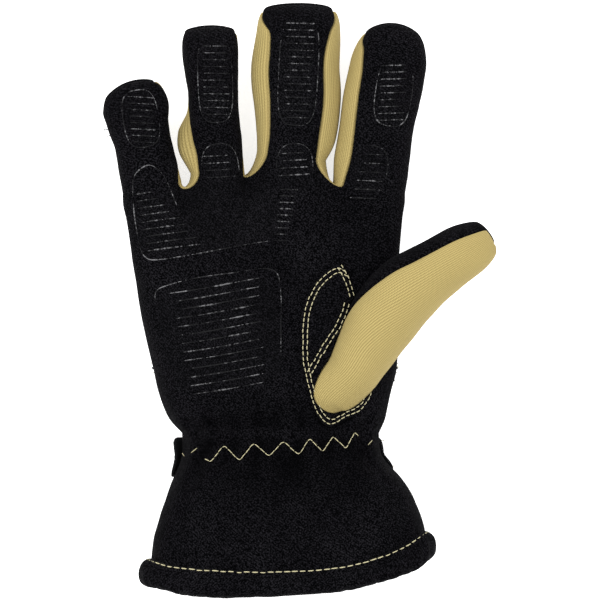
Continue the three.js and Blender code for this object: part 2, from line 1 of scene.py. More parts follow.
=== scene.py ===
import math
import bpy
import numpy as np
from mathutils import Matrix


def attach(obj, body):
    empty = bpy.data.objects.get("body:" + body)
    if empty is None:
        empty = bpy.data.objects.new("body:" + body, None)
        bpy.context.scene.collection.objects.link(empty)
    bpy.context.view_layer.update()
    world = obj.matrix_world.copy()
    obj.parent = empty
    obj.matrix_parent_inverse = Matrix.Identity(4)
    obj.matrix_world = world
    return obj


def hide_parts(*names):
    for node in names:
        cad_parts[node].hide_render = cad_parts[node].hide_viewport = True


# The looks of a knitted firefighter's glove: cloth panels with rolled seams, grip ribs and sewing.
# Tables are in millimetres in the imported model's frame; meshes are made in metres.
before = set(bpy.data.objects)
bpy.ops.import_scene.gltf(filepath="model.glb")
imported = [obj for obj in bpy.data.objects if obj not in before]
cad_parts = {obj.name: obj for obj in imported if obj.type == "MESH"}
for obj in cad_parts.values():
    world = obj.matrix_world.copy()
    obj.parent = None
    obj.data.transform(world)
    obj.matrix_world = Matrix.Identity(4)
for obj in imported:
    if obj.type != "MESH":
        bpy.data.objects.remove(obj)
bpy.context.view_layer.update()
mm = 0.001
chance = np.random.default_rng(7)


# Rises from 0 to 1 as a cubic with level ends
def smooth(t):
    t = np.clip(t, 0, 1)
    return t * t * (3 - 2 * t)


def mix(a, b, t):
    return a + (b - a) * t


# Keeps the sign and raises the size to a power, as a superellipse needs
def bulge(value, exponent):
    return np.sign(value) * np.abs(value) ** exponent


def unit(vectors):
    return vectors / np.maximum(np.linalg.norm(vectors, axis=-1, keepdims=True), 1e-12)


# One column of a table at any place: a cubic through the rows, with slopes taken from row to row.
def readRow(rows, column, at):
    at = np.asarray(at, float)
    x = np.array([row["at"] for row in rows])
    y = np.array([row.get(column, 0.0) for row in rows])
    last = len(x) - 1
    i = np.searchsorted(x[1:last], at, side="left")
    span = x[i + 1] - x[i]
    t = np.clip((at - x[i]) / span, 0, 1)

    def slope(k):
        p, q = np.maximum(k - 1, 0), np.minimum(k + 1, last)
        return (y[q] - y[p]) / (x[q] - x[p]) * span

    start = y[i] * (2 * t**3 - 3 * t**2 + 1) + slope(i) * (t**3 - 2 * t**2 + t)
    return start + y[i + 1] * (3 * t**2 - 2 * t**3) + slope(i + 1) * (t**3 - t**2)


# Rows from a short text: the first line names the columns
def table(text):
    names, *lines = [line.split() for line in text.strip().splitlines()]
    return [dict(zip(names, map(float, line))) for line in lines]


# Measures x and y across and along a line that heads some degrees clockwise from +Y
def turned(x, y, degrees):
    a = math.radians(degrees)
    return x * math.cos(a) - y * math.sin(a), x * math.sin(a) + y * math.cos(a)


# How far along a path each of its points lies: the sum of the steps before it
def lengthAlong(path):
    return np.concatenate([[0], np.cumsum(np.linalg.norm(np.diff(path, axis=0), axis=1))])


cloth = {
    "wall": 3.0,  # shell and bonded liner
    "seamGap": 0.3,
    "stripGap": 0.45,
    "roll": 1.3,  # how far a panel's edge turns down into its seam
    "rollWidth": 2.2,
    "rollShare": 0.46,  # of the wall's thickness, at most
}

hand = {
    "length": 130.0,
    "palmDepth": 46.0,
    "knuckleDepth": 35.0,
    "palmCentre": -2.5,
    "squareness": 2.7,
    "crownFade": 0.55,
    "restFlat": 1.5,
    "partingStart": 0.86,
    "backSplit": 0.26,
    "rows": table("""
        at    spread  shift  crown  lift
        0     0       0      0      0
        0.05  0.2     0.18   0.15   0.3
        0.09  0.29    0.27   0.35   0.6
        0.17  0.42    0.35   0.7    1
        0.25  0.53    0.33   0.9    1
        0.37  0.63    0.5    1      1
        0.5   0.69    0.75   1      1
        0.73  0.83    0.92   0.8    1
        0.89  0.95    1      0.6    1
        1     1       1      0.5    1
    """),
}

wrist = {
    "place": -60.0,
    "width": 102.4,
    "depth": 36.0,
    "lift": 5.0,
    "centre": 6.2,
    "folds": 7,
    "foldDepth": 2.2,
    "backShare": 0.5,
    "fade": 1.5,
    "handReach": 0.16,
    "cuffReach": 0.62,
}

cuff = {
    "length": 72.0,
    "width": 146.0,
    "depth": 60.0,
    "centre": 10.5,
    "hemSag": 9.5,
    "hemTilt": 6.0,
    "hemHeight": 8.5,
    "hemCloth": 2.0,
    "rows": table("""
        at    spread  shift  open
        0     0       0      0
        0.12  0.01    0.05   0.08
        0.21  0.1     0.15   0.2
        0.34  0.38    0.55   0.46
        0.5   0.63    0.84   0.68
        0.72  0.87    0.95   0.88
        1     1       1      1
    """),
}

crotch = {"width": 4.4, "depth": 4.7}
fingerForm = {
    "height": 22.0,
    "bend": 2,
    "squareness": 2.3,
    "backSeam": 46.0,
    "taperFrom": 0.86,  # share of a finger's length from which its strips narrow to nothing
    "taperTo": 0.99,
}
fingers = table("""
    length  width  depth  forward  heading  rise  cap   tip   rounded
    55.5    31.5   27     -2       -9       9     0.3   0.66  7
    76.5    28     28     5.2      -2.8     11    0.15  0.78  3
    78.5    37     31     14.6     1.2      12    0.15  0.7   2.5
    86      38     31     -2       8        11    0.26  0.56  9
""")
fingerNames = ["little", "ring", "middle", "index"]
fingerRows = {
    "little": table("""
        at    drift  width  depth  left  right
        0     0      1      1      0     24
        0.2   -0.02  0.97   1      0     0
        0.42  -0.03  0.95   1      0     -6
        0.6   -0.06  1.02   1      0     -6
        0.78  -0.07  1.12   1      0     -4
        1     -0.15  1.06   0.9    0     0
    """),
    "ring": table("""
        at    drift  width  depth  left  right  puffLeft
        0     0      1      1      46    14     0
        0.15  0.01   0.95   1      34    0      0.23
        0.3   -0.01  0.95   1      16    -6     0.24
        0.43  -0.02  0.94   1      2     -6     0.04
        0.58  -0.02  0.93   1      -4    -6     0
        0.82  -0.03  1.04   1      -4    -4     0
        1     -0.02  1.05   0.95   0     0      0
    """),
    "middle": table("""
        at    drift  width  depth  left  right  puffLeft  puffRight
        0     0.04   0.97   1      46    44     0         0
        0.14  0.08   1.07   1      50    52     0.01      0.055
        0.36  0.09   1.17   1      53    51     0.02      0.04
        0.56  0.07   1.2    1      53    50     0.02      0.02
        0.76  0.09   1.18   1      51    48     0.01      0.02
        0.9   0.09   1.13   1      42    30     0         0.02
        1     0.085  1.1    0.92   0     0      0         0
    """),
    "index": table("""
        at    drift  width  depth  left  right  puffLeft
        0     0      1      1      46    0      0
        0.15  0.01   1      1      52    0      0.05
        0.35  0      0.98   1      53    0      0.03
        0.55  0.01   1.03   1      52    0      0.02
        0.74  0.03   1.04   1      49    0      0.01
        0.88  0.03   0.98   1      34    0      0
        1     0.01   0.94   0.92   0     0      0
    """),
}

# Where the fingers stand on the knuckle line
knuckleSpan = sum(finger["width"] for finger in fingers) + crotch["width"] * (len(fingers) - 1)
leftEdge = hand["palmCentre"] - knuckleSpan / 2
for name, finger in zip(fingerNames, fingers):
    finger["rows"] = fingerRows[name]
    finger["bend"] = fingerForm["bend"]
    knuckleY = wrist["place"] + hand["length"] + finger["forward"]
    finger["root"] = np.array([leftEdge + finger["width"] / 2, knuckleY, fingerForm["height"]])
    leftEdge += finger["width"] + crotch["width"]


# The middle line of a finger or thumb: straight along its heading, with a drift aside and a rise.
def tubeCentre(tube, along, inset=0.0):
    reach = (tube["length"] - np.maximum(inset, 0)) * along
    side = readRow(tube["rows"], "drift", along) * tube["width"]
    x, y = turned(side, reach, -tube["heading"])
    return tube["root"] + np.stack([x, y, tube["rise"] * along ** tube["bend"]], -1)


# A superellipse square to the middle line, whose size follows the table and closes like a circle at
# the tip, where its corners draw back as a parabola; angle 0 is its right side and 90 the palm side.
def tubePoint(tube, along, angle, inset=0.0, squareness=2.3, puff=0.0):
    along, angle = np.broadcast_arrays(np.asarray(along, float), np.asarray(angle, float))
    step = 0.02
    before = tubeCentre(tube, np.maximum(along - step, 0), inset)
    forward = unit(tubeCentre(tube, np.minimum(along + step, 1), inset) - before)
    right = unit(np.cross(forward, (0, 0, 1)))
    up = np.cross(right, forward)
    capped = np.maximum(0, (along - (1 - tube["cap"])) / tube["cap"])
    around = np.sqrt(np.maximum(0, 1 - capped**2))
    halfWidth = readRow(tube["rows"], "width", along) * tube["width"] / 2 - inset
    halfDepth = readRow(tube["rows"], "depth", along) * tube["depth"] / 2 - inset
    turn = np.radians(angle)
    wide = (halfWidth * mix(tube["tip"], 1, around) + puff) * bulge(np.cos(turn), 2 / squareness)
    high = halfDepth * around * bulge(np.sin(turn), 2 / squareness)
    back = tube["rounded"] * (1 - around) * (wide / halfWidth) ** 2
    offset = right * wide[..., None] + up * high[..., None] - forward * back[..., None]
    return tubeCentre(tube, along, inset) + offset


# Angles at which a finger's palm panel (side 1) or back panel (side -1) ends, right and left
def seams(index, along, side):
    taper = 1 - smooth((along - fingerForm["taperFrom"]) / (fingerForm["taperTo"] - fingerForm["taperFrom"]))
    rows = fingers[index]["rows"]

    def seam(column):
        return (readRow(rows, column, along) if side > 0 else -fingerForm["backSeam"] + 0 * along) * taper

    right = seam("right") if index < len(fingers) - 1 else 0 * along
    left = seam("left") if index > 0 else 0 * along
    return right, 180 - left


# The palm side stands a seam's gap above the back
def liftOf(side):
    return np.array([0, 0, cloth["seamGap"] if side > 0 else 0])


# A finger's palm or back panel: across 0 is its left seam and 1 its right one.
def archPoint(index, along, across, side, inset):
    right, left = seams(index, along, side)
    angle = mix(left, right + (0 if side > 0 else 360), across)
    return tubePoint(fingers[index], along, angle, inset, fingerForm["squareness"]) + liftOf(side)


# A finger's side strip: across 0 is the back panel's seam and 1 the palm panel's; it may swell.
def stripPoint(index, along, across, onRight, inset):
    finger = fingers[index]
    trim = math.degrees(cloth["stripGap"] / (finger["depth"] / 2 - cloth["wall"])) * (1 if onRight else -1)
    place = 0 if onRight else 1
    palm, back = seams(index, along, 1)[place], seams(index, along, -1)[place]
    angle = mix(back + trim, palm - trim, across)
    swell = readRow(finger["rows"], "puffRight" if onRight else "puffLeft", along) * finger["width"]
    puff = swell * np.sin(np.pi * across)
    return tubePoint(finger, along, angle, inset, fingerForm["squareness"], puff)


# The bend between two fingers: half an ellipse from one point to the other, dipping to -Y.
def bendPoint(start, end, turn, inset):
    point = mix(start, end, (1 - np.cos(np.pi * turn)) / 2)
    dip = (crotch["depth"] + inset) * np.sin(np.pi * turn)
    return point - dip * np.array([0, 1, 0])


# Divisions: closer together towards a panel's edges, where the cloth rolls into its seams
def edgeSpaced(count, share=0.6):
    t = np.linspace(0, 1, count + 1)
    return mix(t, (1 - np.cos(np.pi * t)) / 2, share)


grid = {
    "arch": 26,
    "crotch": 10,
    "strip": 12,
    "hand": 104,
    "cuff": 66,
    "finger": 60,
    "thumb": 90,
    "thumbAcross": 40,
    "patch": 180,
    "patchAcross": 26,
}
archAcross = edgeSpaced(grid["arch"])
crotchTurns = np.linspace(0, 1, grid["crotch"] + 1)[1:-1, None]
columns = len(fingers) * grid["arch"] + (len(fingers) - 1) * grid["crotch"]


# The edge along which the hand meets fingers and crotches, from left to right
def knuckleRow(side, inset):
    arches = [archPoint(k, np.zeros(1), archAcross, side, inset) for k in range(len(fingers))]
    row = [arches[0]]
    for left, right in zip(arches, arches[1:]):
        row += [bendPoint(left[-1], right[0], crotchTurns, inset), right]
    return np.concatenate(row)


# The section's sizes along the hand (0 to 1, wrist to knuckles) and the cuff (0 to -1, wrist to hem)
def section(place):
    place = np.asarray(place, float)
    up, down = np.clip(place, 0, 1), np.clip(-place, 0, 1)
    wristTop = wrist["lift"] + wrist["depth"]
    knuckleTop = fingerForm["height"] + hand["knuckleDepth"] / 2
    read = {name: readRow(hand["rows"], name, up) for name in ("spread", "shift", "crown", "lift")}
    crown = mix(wristTop, hand["palmDepth"], read["crown"])
    fall = smooth((up - hand["crownFade"]) / (1 - hand["crownFade"]))
    onHand = {
        "y": wrist["place"] + hand["length"] * up,
        "centre": mix(wrist["centre"], hand["palmCentre"], read["shift"]),
        "half": mix(wrist["width"], knuckleSpan, read["spread"]) / 2,
        "top": mix(crown, knuckleTop, fall),
        "bottom": mix(wrist["lift"], -hand["restFlat"], read["lift"]),
        "seam": fingerForm["height"] + 0 * up,
        "floor": 0 * up,
    }
    hemFloor = cuff["hemCloth"] + cloth["seamGap"]
    opening, spread, shift = [readRow(cuff["rows"], name, down) for name in ("open", "spread", "shift")]
    onCuff = {
        "y": wrist["place"] - cuff["length"] * np.maximum(-place, 0),
        "centre": mix(wrist["centre"], cuff["centre"], shift),
        "half": mix(wrist["width"], cuff["width"], spread) / 2,
        "top": mix(wristTop, cuff["depth"], opening),
        "bottom": mix(wrist["lift"], hemFloor - hand["restFlat"], opening),
        "seam": mix(fingerForm["height"], cuff["depth"] / 2, opening),
        "floor": hemFloor * np.clip(down / (1 - cuff["hemHeight"] / cuff["length"]), 0, 1),
    }
    return {key: np.where(place > 0, onHand[key], onCuff[key]) for key in onHand}


# How far the elastic gather's folds stand out: a cosine across, dying away from the wrist
def gather(across, place):
    reach = np.where(place > 0, wrist["handReach"], wrist["cuffReach"])
    strength = np.maximum(0, 1 - np.abs(place) / reach) ** wrist["fade"]
    return wrist["foldDepth"] * strength * np.cos(2 * np.pi * wrist["folds"] * across)


# The angle of each column on the section: evenly spread at the wrist, and at the knuckles where the
# column's own point of the row of fingers lies on a superellipse
def columnAngles(side):
    across = np.linspace(0, 1, columns + 1)
    even = np.pi * (1 - across)
    ends = section(1.0)
    share = np.clip((knuckleRow(side, 0)[:, 0] - ends["centre"]) / ends["half"], -1, 1)
    matched = np.arccos(bulge(share, hand["squareness"] / 2))
    matched[[0, -1]] = even[[0, -1]]
    return even, matched


angles = {side: columnAngles(side) for side in (1, -1)}


# The hand's or cuff's superellipse section in a column of its palm side (1) or back (-1), flattened
# where it rests, with the hem's sag and tilt.
def bodyPoint(place, side, inset):
    even, matched = angles[side]
    place = np.asarray(place, float)[..., None]
    part = section(place)
    angle = mix(even, matched, smooth(place))
    wide = bulge(np.cos(angle), 2 / hand["squareness"])
    high = np.abs(np.sin(angle)) ** (2 / hand["squareness"])
    reach = part["top"] - part["seam"] if side > 0 else part["seam"] - part["bottom"]
    fold = high * gather(1 - even / np.pi, place) * (1 if side > 0 else wrist["backShare"])
    below = np.maximum(-place, 0)
    x = part["centre"] + (part["half"] - inset) * wide
    tilt = below * math.tan(math.radians(cuff["hemTilt"])) * part["half"] * wide
    y = part["y"] - below * cuff["hemSag"] * (1 - wide**2) + tilt
    z = np.maximum(part["seam"] + side * ((reach - inset) * high + fold), part["floor"] + inset)
    return np.stack(np.broadcast_arrays(x, y, z), -1) + liftOf(side)


# The same, but near the knuckles it runs into the row of fingers and crotches
def handPoint(place, side, inset):
    point = bodyPoint(place, side, inset)
    start = hand["partingStart"]
    share = np.clip((place - start) / (1 - start), 0, 1)[:, None, None]
    row = knuckleRow(side, inset)[None]
    parted = mix(point, row, smooth(share))
    parted[..., 1] = mix(section(start)["y"], row[..., 1], share[..., 0])
    return np.where(share > 0, parted, point)


# Soft dents and creases that the flat cut of the cloth leaves, as a change of height
creases = table("""
    x    y    length  heading  width  depth
    7.5  4    44      1        2.6    0.9
    -6   40   26      -60      5      0.6
    30   36   22      70       5      0.7
    44   -42  18      -55      3.4    1.0
    -30  -40  20      40       4      0.8
    -12  -44  14      80       3      0.7
    12   -46  12      -85      3      0.7
    -58  20   30      86       4      0.7
    60   24   22      80       4      0.6
""")
ripples = table("""
    period  heading  size
    31      12       0.22
    17      40       0.16
    57      71       0.32
    11      98       0.08
    23      150      0.14
""")
rippleBeat = {"size": 0.5, "rate": 0.37}
foldShare = {"fingers": 0.6, "back": 0.7, "thumb": 0.5, "patch": 0.7}


# Ripples are a few sine waves in different directions, each out of step by its heading and growing and
# fading as a slower sine; a crease is a Gaussian trough along a line.
def relief(points):
    x, y = points[..., 0], points[..., 1]
    height = np.zeros(x.shape)
    for ripple in ripples:
        phase = 2 * np.pi * turned(x, y, -ripple["heading"])[0] / ripple["period"]
        beat = 1 + rippleBeat["size"] * np.sin(phase * rippleBeat["rate"])
        height += ripple["size"] * np.sin(phase + ripple["heading"]) * beat
    for crease in creases:
        aside, along = turned(x - crease["x"], y - crease["y"], crease["heading"])
        fade = smooth(1.3 - np.abs(along) / crease["length"])
        height -= crease["depth"] * fade * np.exp(-((aside / crease["width"]) ** 2))
    return height


# Uneven pleats that run out of the elastic into the cuff and the heel of the hand
pleats = table("""
    x    width  reach  depth  lean
    -30  4.5    34     1.5    -0.35
    -17  5      40     1.2    -0.22
    -5   4      46     1.5    -0.1
    5    4.5    52     1.4    0.02
    15   4      44     1.6    0.1
    27   5      40     1.3    0.24
    38   4      36     1.3    0.36
    -40  3.5    20     1.0    -0.5
    47   3.5    20     1.0    0.5
""")
pleatForm = {
    "wander": 1.2,  # how far a pleat strays to both sides
    "wanderRun": 7,
    "onHand": 0.45,  # its reach into the hand, as a share of that into the cuff
    "start": 2,  # how far within the elastic it sets in
    "full": 8,  # and over what way it comes to its full depth
    "widening": 40,
}


# Each pleat is a Gaussian valley about a line that leans outwards as it leaves the wrist.
def pleating(points):
    x, y = points[..., 0], points[..., 1]
    down = wrist["place"] - y
    height = np.zeros(x.shape)
    for pleat in pleats:
        wander = pleatForm["wander"] * np.sin(down / pleatForm["wanderRun"] + pleat["x"])
        middle = pleat["x"] + pleat["lean"] * np.abs(down) + wander
        reach = np.where(down > 0, pleat["reach"], pleat["reach"] * pleatForm["onHand"])
        setIn = smooth((np.abs(down) + pleatForm["start"]) / pleatForm["full"])
        fade = smooth(1.15 - np.abs(down) / reach) * setIn
        width = pleat["width"] * (1 + np.abs(down) / pleatForm["widening"])
        height -= pleat["depth"] * fade * np.exp(-(((x - middle) / width) ** 2))
    return height


# Meshes
skins = {}
facingUp = 0.12  # least upward share of a normal for skin that the sewing and the thumb may lie on


# A mesh with smooth faces, its flat cut as a UV map and its fields as attributes of the points
def finishPiece(name, points, faces, material, uv, fields=None):
    mesh = bpy.data.meshes.new(name)
    mesh.from_pydata((points * mm).tolist(), [], faces)
    mesh.polygons.foreach_set("use_smooth", np.ones(len(mesh.polygons), bool))
    corners = np.empty(len(mesh.loops), np.int32)
    mesh.loops.foreach_get("vertex_index", corners)
    layer = mesh.uv_layers.new(name="cut")
    layer.data.foreach_set("uv", (uv[corners] * mm).astype(np.float32).ravel())
    for field, values in (fields or {}).items():
        mesh.attributes.new(field, "FLOAT", "POINT").data.foreach_set("value", values.astype(np.float32))
    mesh.materials.append(material)
    mesh.update()
    piece = bpy.data.objects.new(name, mesh)
    bpy.context.collection.objects.link(piece)
    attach(piece, "root")
    return piece


# Quads of a grid of rows and columns whose first point has the given number
def gridFaces(rows, cols, first=0, wrap=False):
    r = np.arange(rows - 1)[:, None]
    c = np.arange(cols if wrap else cols - 1)[None, :]
    nextRow, nextCol = r + 1, (c + 1) % cols
    corners = [r * cols + c, r * cols + nextCol, nextRow * cols + nextCol, nextRow * cols + c]
    return first + np.stack(corners, -1).reshape(-1, 4)


# The mean length along one axis of a grid of points, up to each of its rows or columns
def arcLength(points, axis):
    steps = np.linalg.norm(np.diff(points, axis=axis), axis=-1).mean(axis=1 - axis)
    return np.concatenate([[0], np.cumsum(steps)])


# The flat cut of a grid of cloth: how far each column lies across it and each row along it
def flatCut(outer, startV=0.0, across=None):
    u, v = arcLength(outer, 1), arcLength(outer, 0)
    return (u - u[-1] / 2 if across is None else across), v + startV


# Which of some other points lies nearest to each point, in plan or in space, and how far off
def nearest(points, others, batch=400):
    best = np.empty(len(points), int)
    reach = np.empty(len(points))
    for first in range(0, len(points), batch):
        part = slice(first, first + batch)
        away = points[part, None].astype(np.float32) - others[None].astype(np.float32)
        square = (away**2).sum(-1)
        best[part] = square.argmin(1)
        reach[part] = np.sqrt(square.min(1))
    return best, reach


# Each point's normal: the cross products of its faces' diagonals, added up
def vertexNormals(points, faces):
    across = points[faces[:, 2]] - points[faces[:, 0]]
    cross = np.cross(across, points[faces[:, 3]] - points[faces[:, 1]])
    normals = np.zeros_like(points)
    for corner in range(4):
        np.add.at(normals, faces[:, corner], cross)
    return unit(normals)


# Cloth: patches of skin with their lining are sewn where their points coincide. The skin sinks and the
# lining rises like a quarter circle towards each free edge, and a rim joins the two.
def clothPiece(name, patches, material, keep=None, roll=None, flip=False, plainEdge=None, fields=None):
    skin = np.concatenate([patch[0].reshape(-1, 3) for patch in patches])
    lining = np.concatenate([patch[1].reshape(-1, 3) for patch in patches])
    uvs, faces, first = [], [], 0
    for outer, inner, cut in patches:
        rows, cols = outer.shape[:2]
        uvs.append(np.stack(np.meshgrid(*cut), -1).reshape(-1, 2))
        faces.append(gridFaces(rows, cols, first))
        first += rows * cols
    faces, uvs = np.concatenate(faces), np.concatenate(uvs)
    rounded = np.round(skin, 3)
    chosen, inverse = np.unique(rounded, axis=0, return_index=True, return_inverse=True)[1:]
    faces = inverse.reshape(-1)[faces]
    skin, lining, uvs = skin[chosen], lining[chosen], uvs[chosen]
    if keep is not None:
        faces = faces[keep(skin)[faces].any(1)]
    if flip:
        faces = faces[:, ::-1]
    edges = np.concatenate([faces[:, [k, (k + 1) % 4]] for k in range(4)])
    edges = edges[edges[:, 0] != edges[:, 1]]
    count = len(skin)
    codes = edges[:, 0] * count + edges[:, 1]
    free = edges[~np.isin(edges[:, 1] * count + edges[:, 0], codes)]
    width, depth = cloth["rollWidth"], cloth["roll"] if roll is None else roll
    rim = np.concatenate([mix(skin[free[:, 0]], skin[free[:, 1]], t) for t in (0, 0.25, 0.5, 0.75)])
    if plainEdge is not None:
        rim = rim[~plainEdge(rim)]
    reach = nearest(skin, rim)[1]
    sink = 1 - np.sqrt(1 - np.clip(1 - reach / width, 0, 1) ** 2)
    inwards = lining - skin
    thickness = np.maximum(np.linalg.norm(inwards, axis=1, keepdims=True), 1e-9)
    offset = inwards / thickness * np.minimum(depth * sink[:, None], thickness * cloth["rollShare"])
    skin, lining = skin + offset, lining - offset
    used = np.unique(faces)
    renumber = np.full(count, -1)
    renumber[used] = np.arange(len(used))
    faces, free = renumber[faces], renumber[free]
    skin, lining, uvs, edge = skin[used], lining[used], uvs[used], reach[used]
    size = len(used)
    a, b = free[:, 0], free[:, 1]
    rims = np.stack([b, a, a + size, b + size], -1)
    every = np.concatenate([faces, faces[:, ::-1] + size, rims])
    solid = [list(dict.fromkeys(face)) for face in every.tolist()]
    solid = [face for face in solid if len(face) > 2]
    skins[name] = {"points": skin, "normals": vertexNormals(skin, faces)}
    points = np.concatenate([skin, lining])
    marks = {"edge": edge, **{field: formula(skin) for field, formula in (fields or {}).items()}}
    marks = {field: np.tile(values, 2) for field, values in marks.items()}
    return finishPiece(name, points, solid, material, np.tile(uvs, (2, 1)), marks)


# Puts points given by x and y on a skin that faces up, at a height above it: each lies on the plane
# through the nearest vertex, square to its normal
def settle(name, path, lift=0.0):
    skin = skins[name]
    top = skin["normals"][:, 2] > facingUp
    points, normals = skin["points"][top], skin["normals"][top]
    best = nearest(path, points[:, :2])[0]
    near, normal = points[best], normals[best]
    steepest, farthest = 0.3, 2
    fall = ((path - near[:, :2]) * normal[:, :2]).sum(1) / np.maximum(normal[:, 2], steepest)
    settled = np.column_stack([path, near[:, 2] - np.clip(fall, -farthest, farthest)])
    return settled + normal * lift, normal


floorGap = 0.28  # how far a seam's underside may hang below the glove's own lowest point


# Carries a half-flattened round section along paths (paths x points x 3). Widths and heights are radii
# across and away from the surface, and the ends are drawn in to close. None goes lower than floorGap.
def sweep(name, paths, normals, width, height, material, sides=6, blunt=6):
    paths = np.array(paths)
    paths[..., 2] = np.maximum(paths[..., 2], height - floorGap)
    along = unit(np.gradient(paths, axis=1))
    aside = unit(np.cross(along, normals))
    out = np.cross(aside, along)
    count, steps = paths.shape[:2]
    t = np.linspace(-1, 1, steps)
    taper = np.sqrt(np.maximum(1 - np.abs(t) ** blunt, 0.02))
    turn = 2 * np.pi * np.arange(sides) / sides
    wide = (np.asarray(width) * taper)[..., None] * np.cos(turn)
    high = (np.asarray(height) * taper)[..., None] * np.sin(turn)
    wide, high = np.broadcast_to(wide, (count, steps, sides)), np.broadcast_to(high, (count, steps, sides))
    rings = paths[:, :, None] + aside[:, :, None] * wide[..., None] + out[:, :, None] * high[..., None]
    size = steps * sides
    one = gridFaces(steps, sides, wrap=True)[:, ::-1]
    faces = (one[None] + (np.arange(count) * size)[:, None, None]).reshape(-1, 4).tolist()
    for first in range(0, count * size, size):
        faces.append(list(range(first, first + sides)))
        faces.append(list(range(first + size - 1, first + size - sides - 1, -1)))
    uv = np.stack(np.broadcast_arrays(turn[None, None, :] * 0.5, (t * steps)[None, :, None] * 0.5), -1)
    uv = np.broadcast_to(uv, (count, steps, sides, 2)).reshape(-1, 2)
    return finishPiece(name, rings.reshape(-1, 3), faces, material, uv)


# Materials
def newGroup(name, inputs, outputs):
    group = bpy.data.node_groups.new(name, "ShaderNodeTree")
    for label, kind, value in inputs:
        socket = group.interface.new_socket(label, in_out="INPUT", socket_type=kind)
        if value is not None:
            socket.default_value = value
    for label, kind in outputs:
        group.interface.new_socket(label, in_out="OUTPUT", socket_type=kind)
    return group, group.nodes.new("NodeGroupInput"), group.nodes.new("NodeGroupOutput")


# A node with its settings; each of its sockets gets a value or a link
def addNode(tree, kind, sockets=None, **settings):
    node = tree.nodes.new(kind)
    for key, value in settings.items():
        setattr(node, key, value)
    for key, value in (sockets or {}).items():
        if isinstance(value, bpy.types.NodeSocket):
            tree.links.new(value, node.inputs[key])
        else:
            node.inputs[key].default_value = value
    return node


def addMath(tree, operation, *values, clamp=False):
    node = addNode(tree, "ShaderNodeMath", dict(enumerate(values)), operation=operation, use_clamp=clamp)
    return node.outputs[0]


def addWave(tree, turns):
    return addMath(tree, "SINE", addMath(tree, "MULTIPLY", turns, 2 * math.pi))


def blendColour(tree, factor, first, second):
    sockets = {0: factor, 6: first, 7: second}
    return addNode(tree, "ShaderNodeMix", sockets, data_type="RGBA").outputs[2]


def addNoise(tree, vector, scale, detail):
    sockets = {"Vector": vector, "Scale": scale, "Detail": detail}
    return addNode(tree, "ShaderNodeTexNoise", sockets).outputs["Fac"]


# A value carried from one range, low to high, to another
def addRange(tree, value, low, high, toLow, toHigh):
    sockets = {"Value": value, "From Min": low, "From Max": high, "To Min": toLow, "To Max": toHigh}
    return addNode(tree, "ShaderNodeMapRange", sockets).outputs[0]


def readField(tree, name):
    return addNode(tree, "ShaderNodeAttribute", attribute_name=name).outputs["Fac"]


# The flat cut of the cloth, in metres across and along, and the place on the object
def readPlaces(tree):
    cut = addNode(tree, "ShaderNodeUVMap", uv_map="cut").outputs[0]
    return cut, addNode(tree, "ShaderNodeTexCoord").outputs["Object"]


# Twill: slanting ridges from a sine of u + v, broken into stitches by a second sine across them
def makeTwill():
    inputs = [("Vector", "NodeSocketVector", None), ("Pitch", "NodeSocketFloat", 0.0011)]
    tree, source, sink = newGroup("twillWeave", inputs, [("Height", "NodeSocketFloat")])
    wander = addNoise(tree, source.outputs["Vector"], 160.0, 1.0)
    split = addNode(tree, "ShaderNodeSeparateXYZ", {0: source.outputs["Vector"]})
    sway = addMath(tree, "MULTIPLY", wander, 0.0009)
    slant = addMath(tree, "ADD", addMath(tree, "ADD", split.outputs[0], split.outputs[1]), sway)
    cross = addMath(tree, "SUBTRACT", split.outputs[0], addMath(tree, "MULTIPLY", split.outputs[1], 0.6))
    ridge = addWave(tree, addMath(tree, "DIVIDE", slant, source.outputs["Pitch"]))
    stitch = addWave(tree, addMath(tree, "DIVIDE", cross, source.outputs["Pitch"]))
    height = addMath(tree, "MULTIPLY_ADD", ridge, 0.34, 0.5)
    height = addMath(tree, "MULTIPLY_ADD", stitch, 0.16, height)
    tree.links.new(height, sink.inputs["Height"])
    return tree


# Plain knit: columns of V stitches, a sine along v whose phase folds back at the middle of each column
def makeKnit():
    inputs = [
        ("Vector", "NodeSocketVector", None),
        ("Column", "NodeSocketFloat", 0.0011),
        ("Row", "NodeSocketFloat", 0.0009),
    ]
    tree, source, sink = newGroup("knitLoops", inputs, [("Height", "NodeSocketFloat")])
    split = addNode(tree, "ShaderNodeSeparateXYZ", {0: source.outputs["Vector"]})
    column = addMath(tree, "FRACT", addMath(tree, "DIVIDE", split.outputs[0], source.outputs["Column"]))
    fold = addMath(tree, "ABSOLUTE", addMath(tree, "SUBTRACT", column, 0.5))
    row = addMath(tree, "DIVIDE", split.outputs[1], source.outputs["Row"])
    phase = addMath(tree, "ADD", row, addMath(tree, "MULTIPLY", fold, 1.4))
    loop = addWave(tree, phase)
    valley = addMath(tree, "SINE", addMath(tree, "MULTIPLY", column, math.pi))
    height = addMath(tree, "MULTIPLY_ADD", loop, 0.3, addMath(tree, "MULTIPLY", valley, 0.6))
    tree.links.new(height, sink.inputs["Height"])
    return tree


# Nap: fine fibres that stand off the yarn, with slow patches of rubbed and raised pile
def makeNap():
    inputs = [("Vector", "NodeSocketVector", None)]
    outputs = [(label, "NodeSocketFloat") for label in ("Fibre", "Patch", "Lint", "Grain")]
    tree, source, sink = newGroup("clothNap", inputs, outputs)
    vector = source.outputs["Vector"]
    speck = addNode(tree, "ShaderNodeTexVoronoi", {"Vector": vector, "Scale": 95.0})
    masks = {
        "Fibre": addNoise(tree, vector, 1500.0, 2.0),
        "Patch": addNoise(tree, vector, 34.0, 4.0),
        "Lint": addRange(tree, speck.outputs["Distance"], 0.0, 0.035, 1.0, 0.0),
        "Grain": addNoise(tree, vector, 1300.0, 2.0),
    }
    for label, mask in masks.items():
        tree.links.new(mask, sink.inputs[label])
    return tree


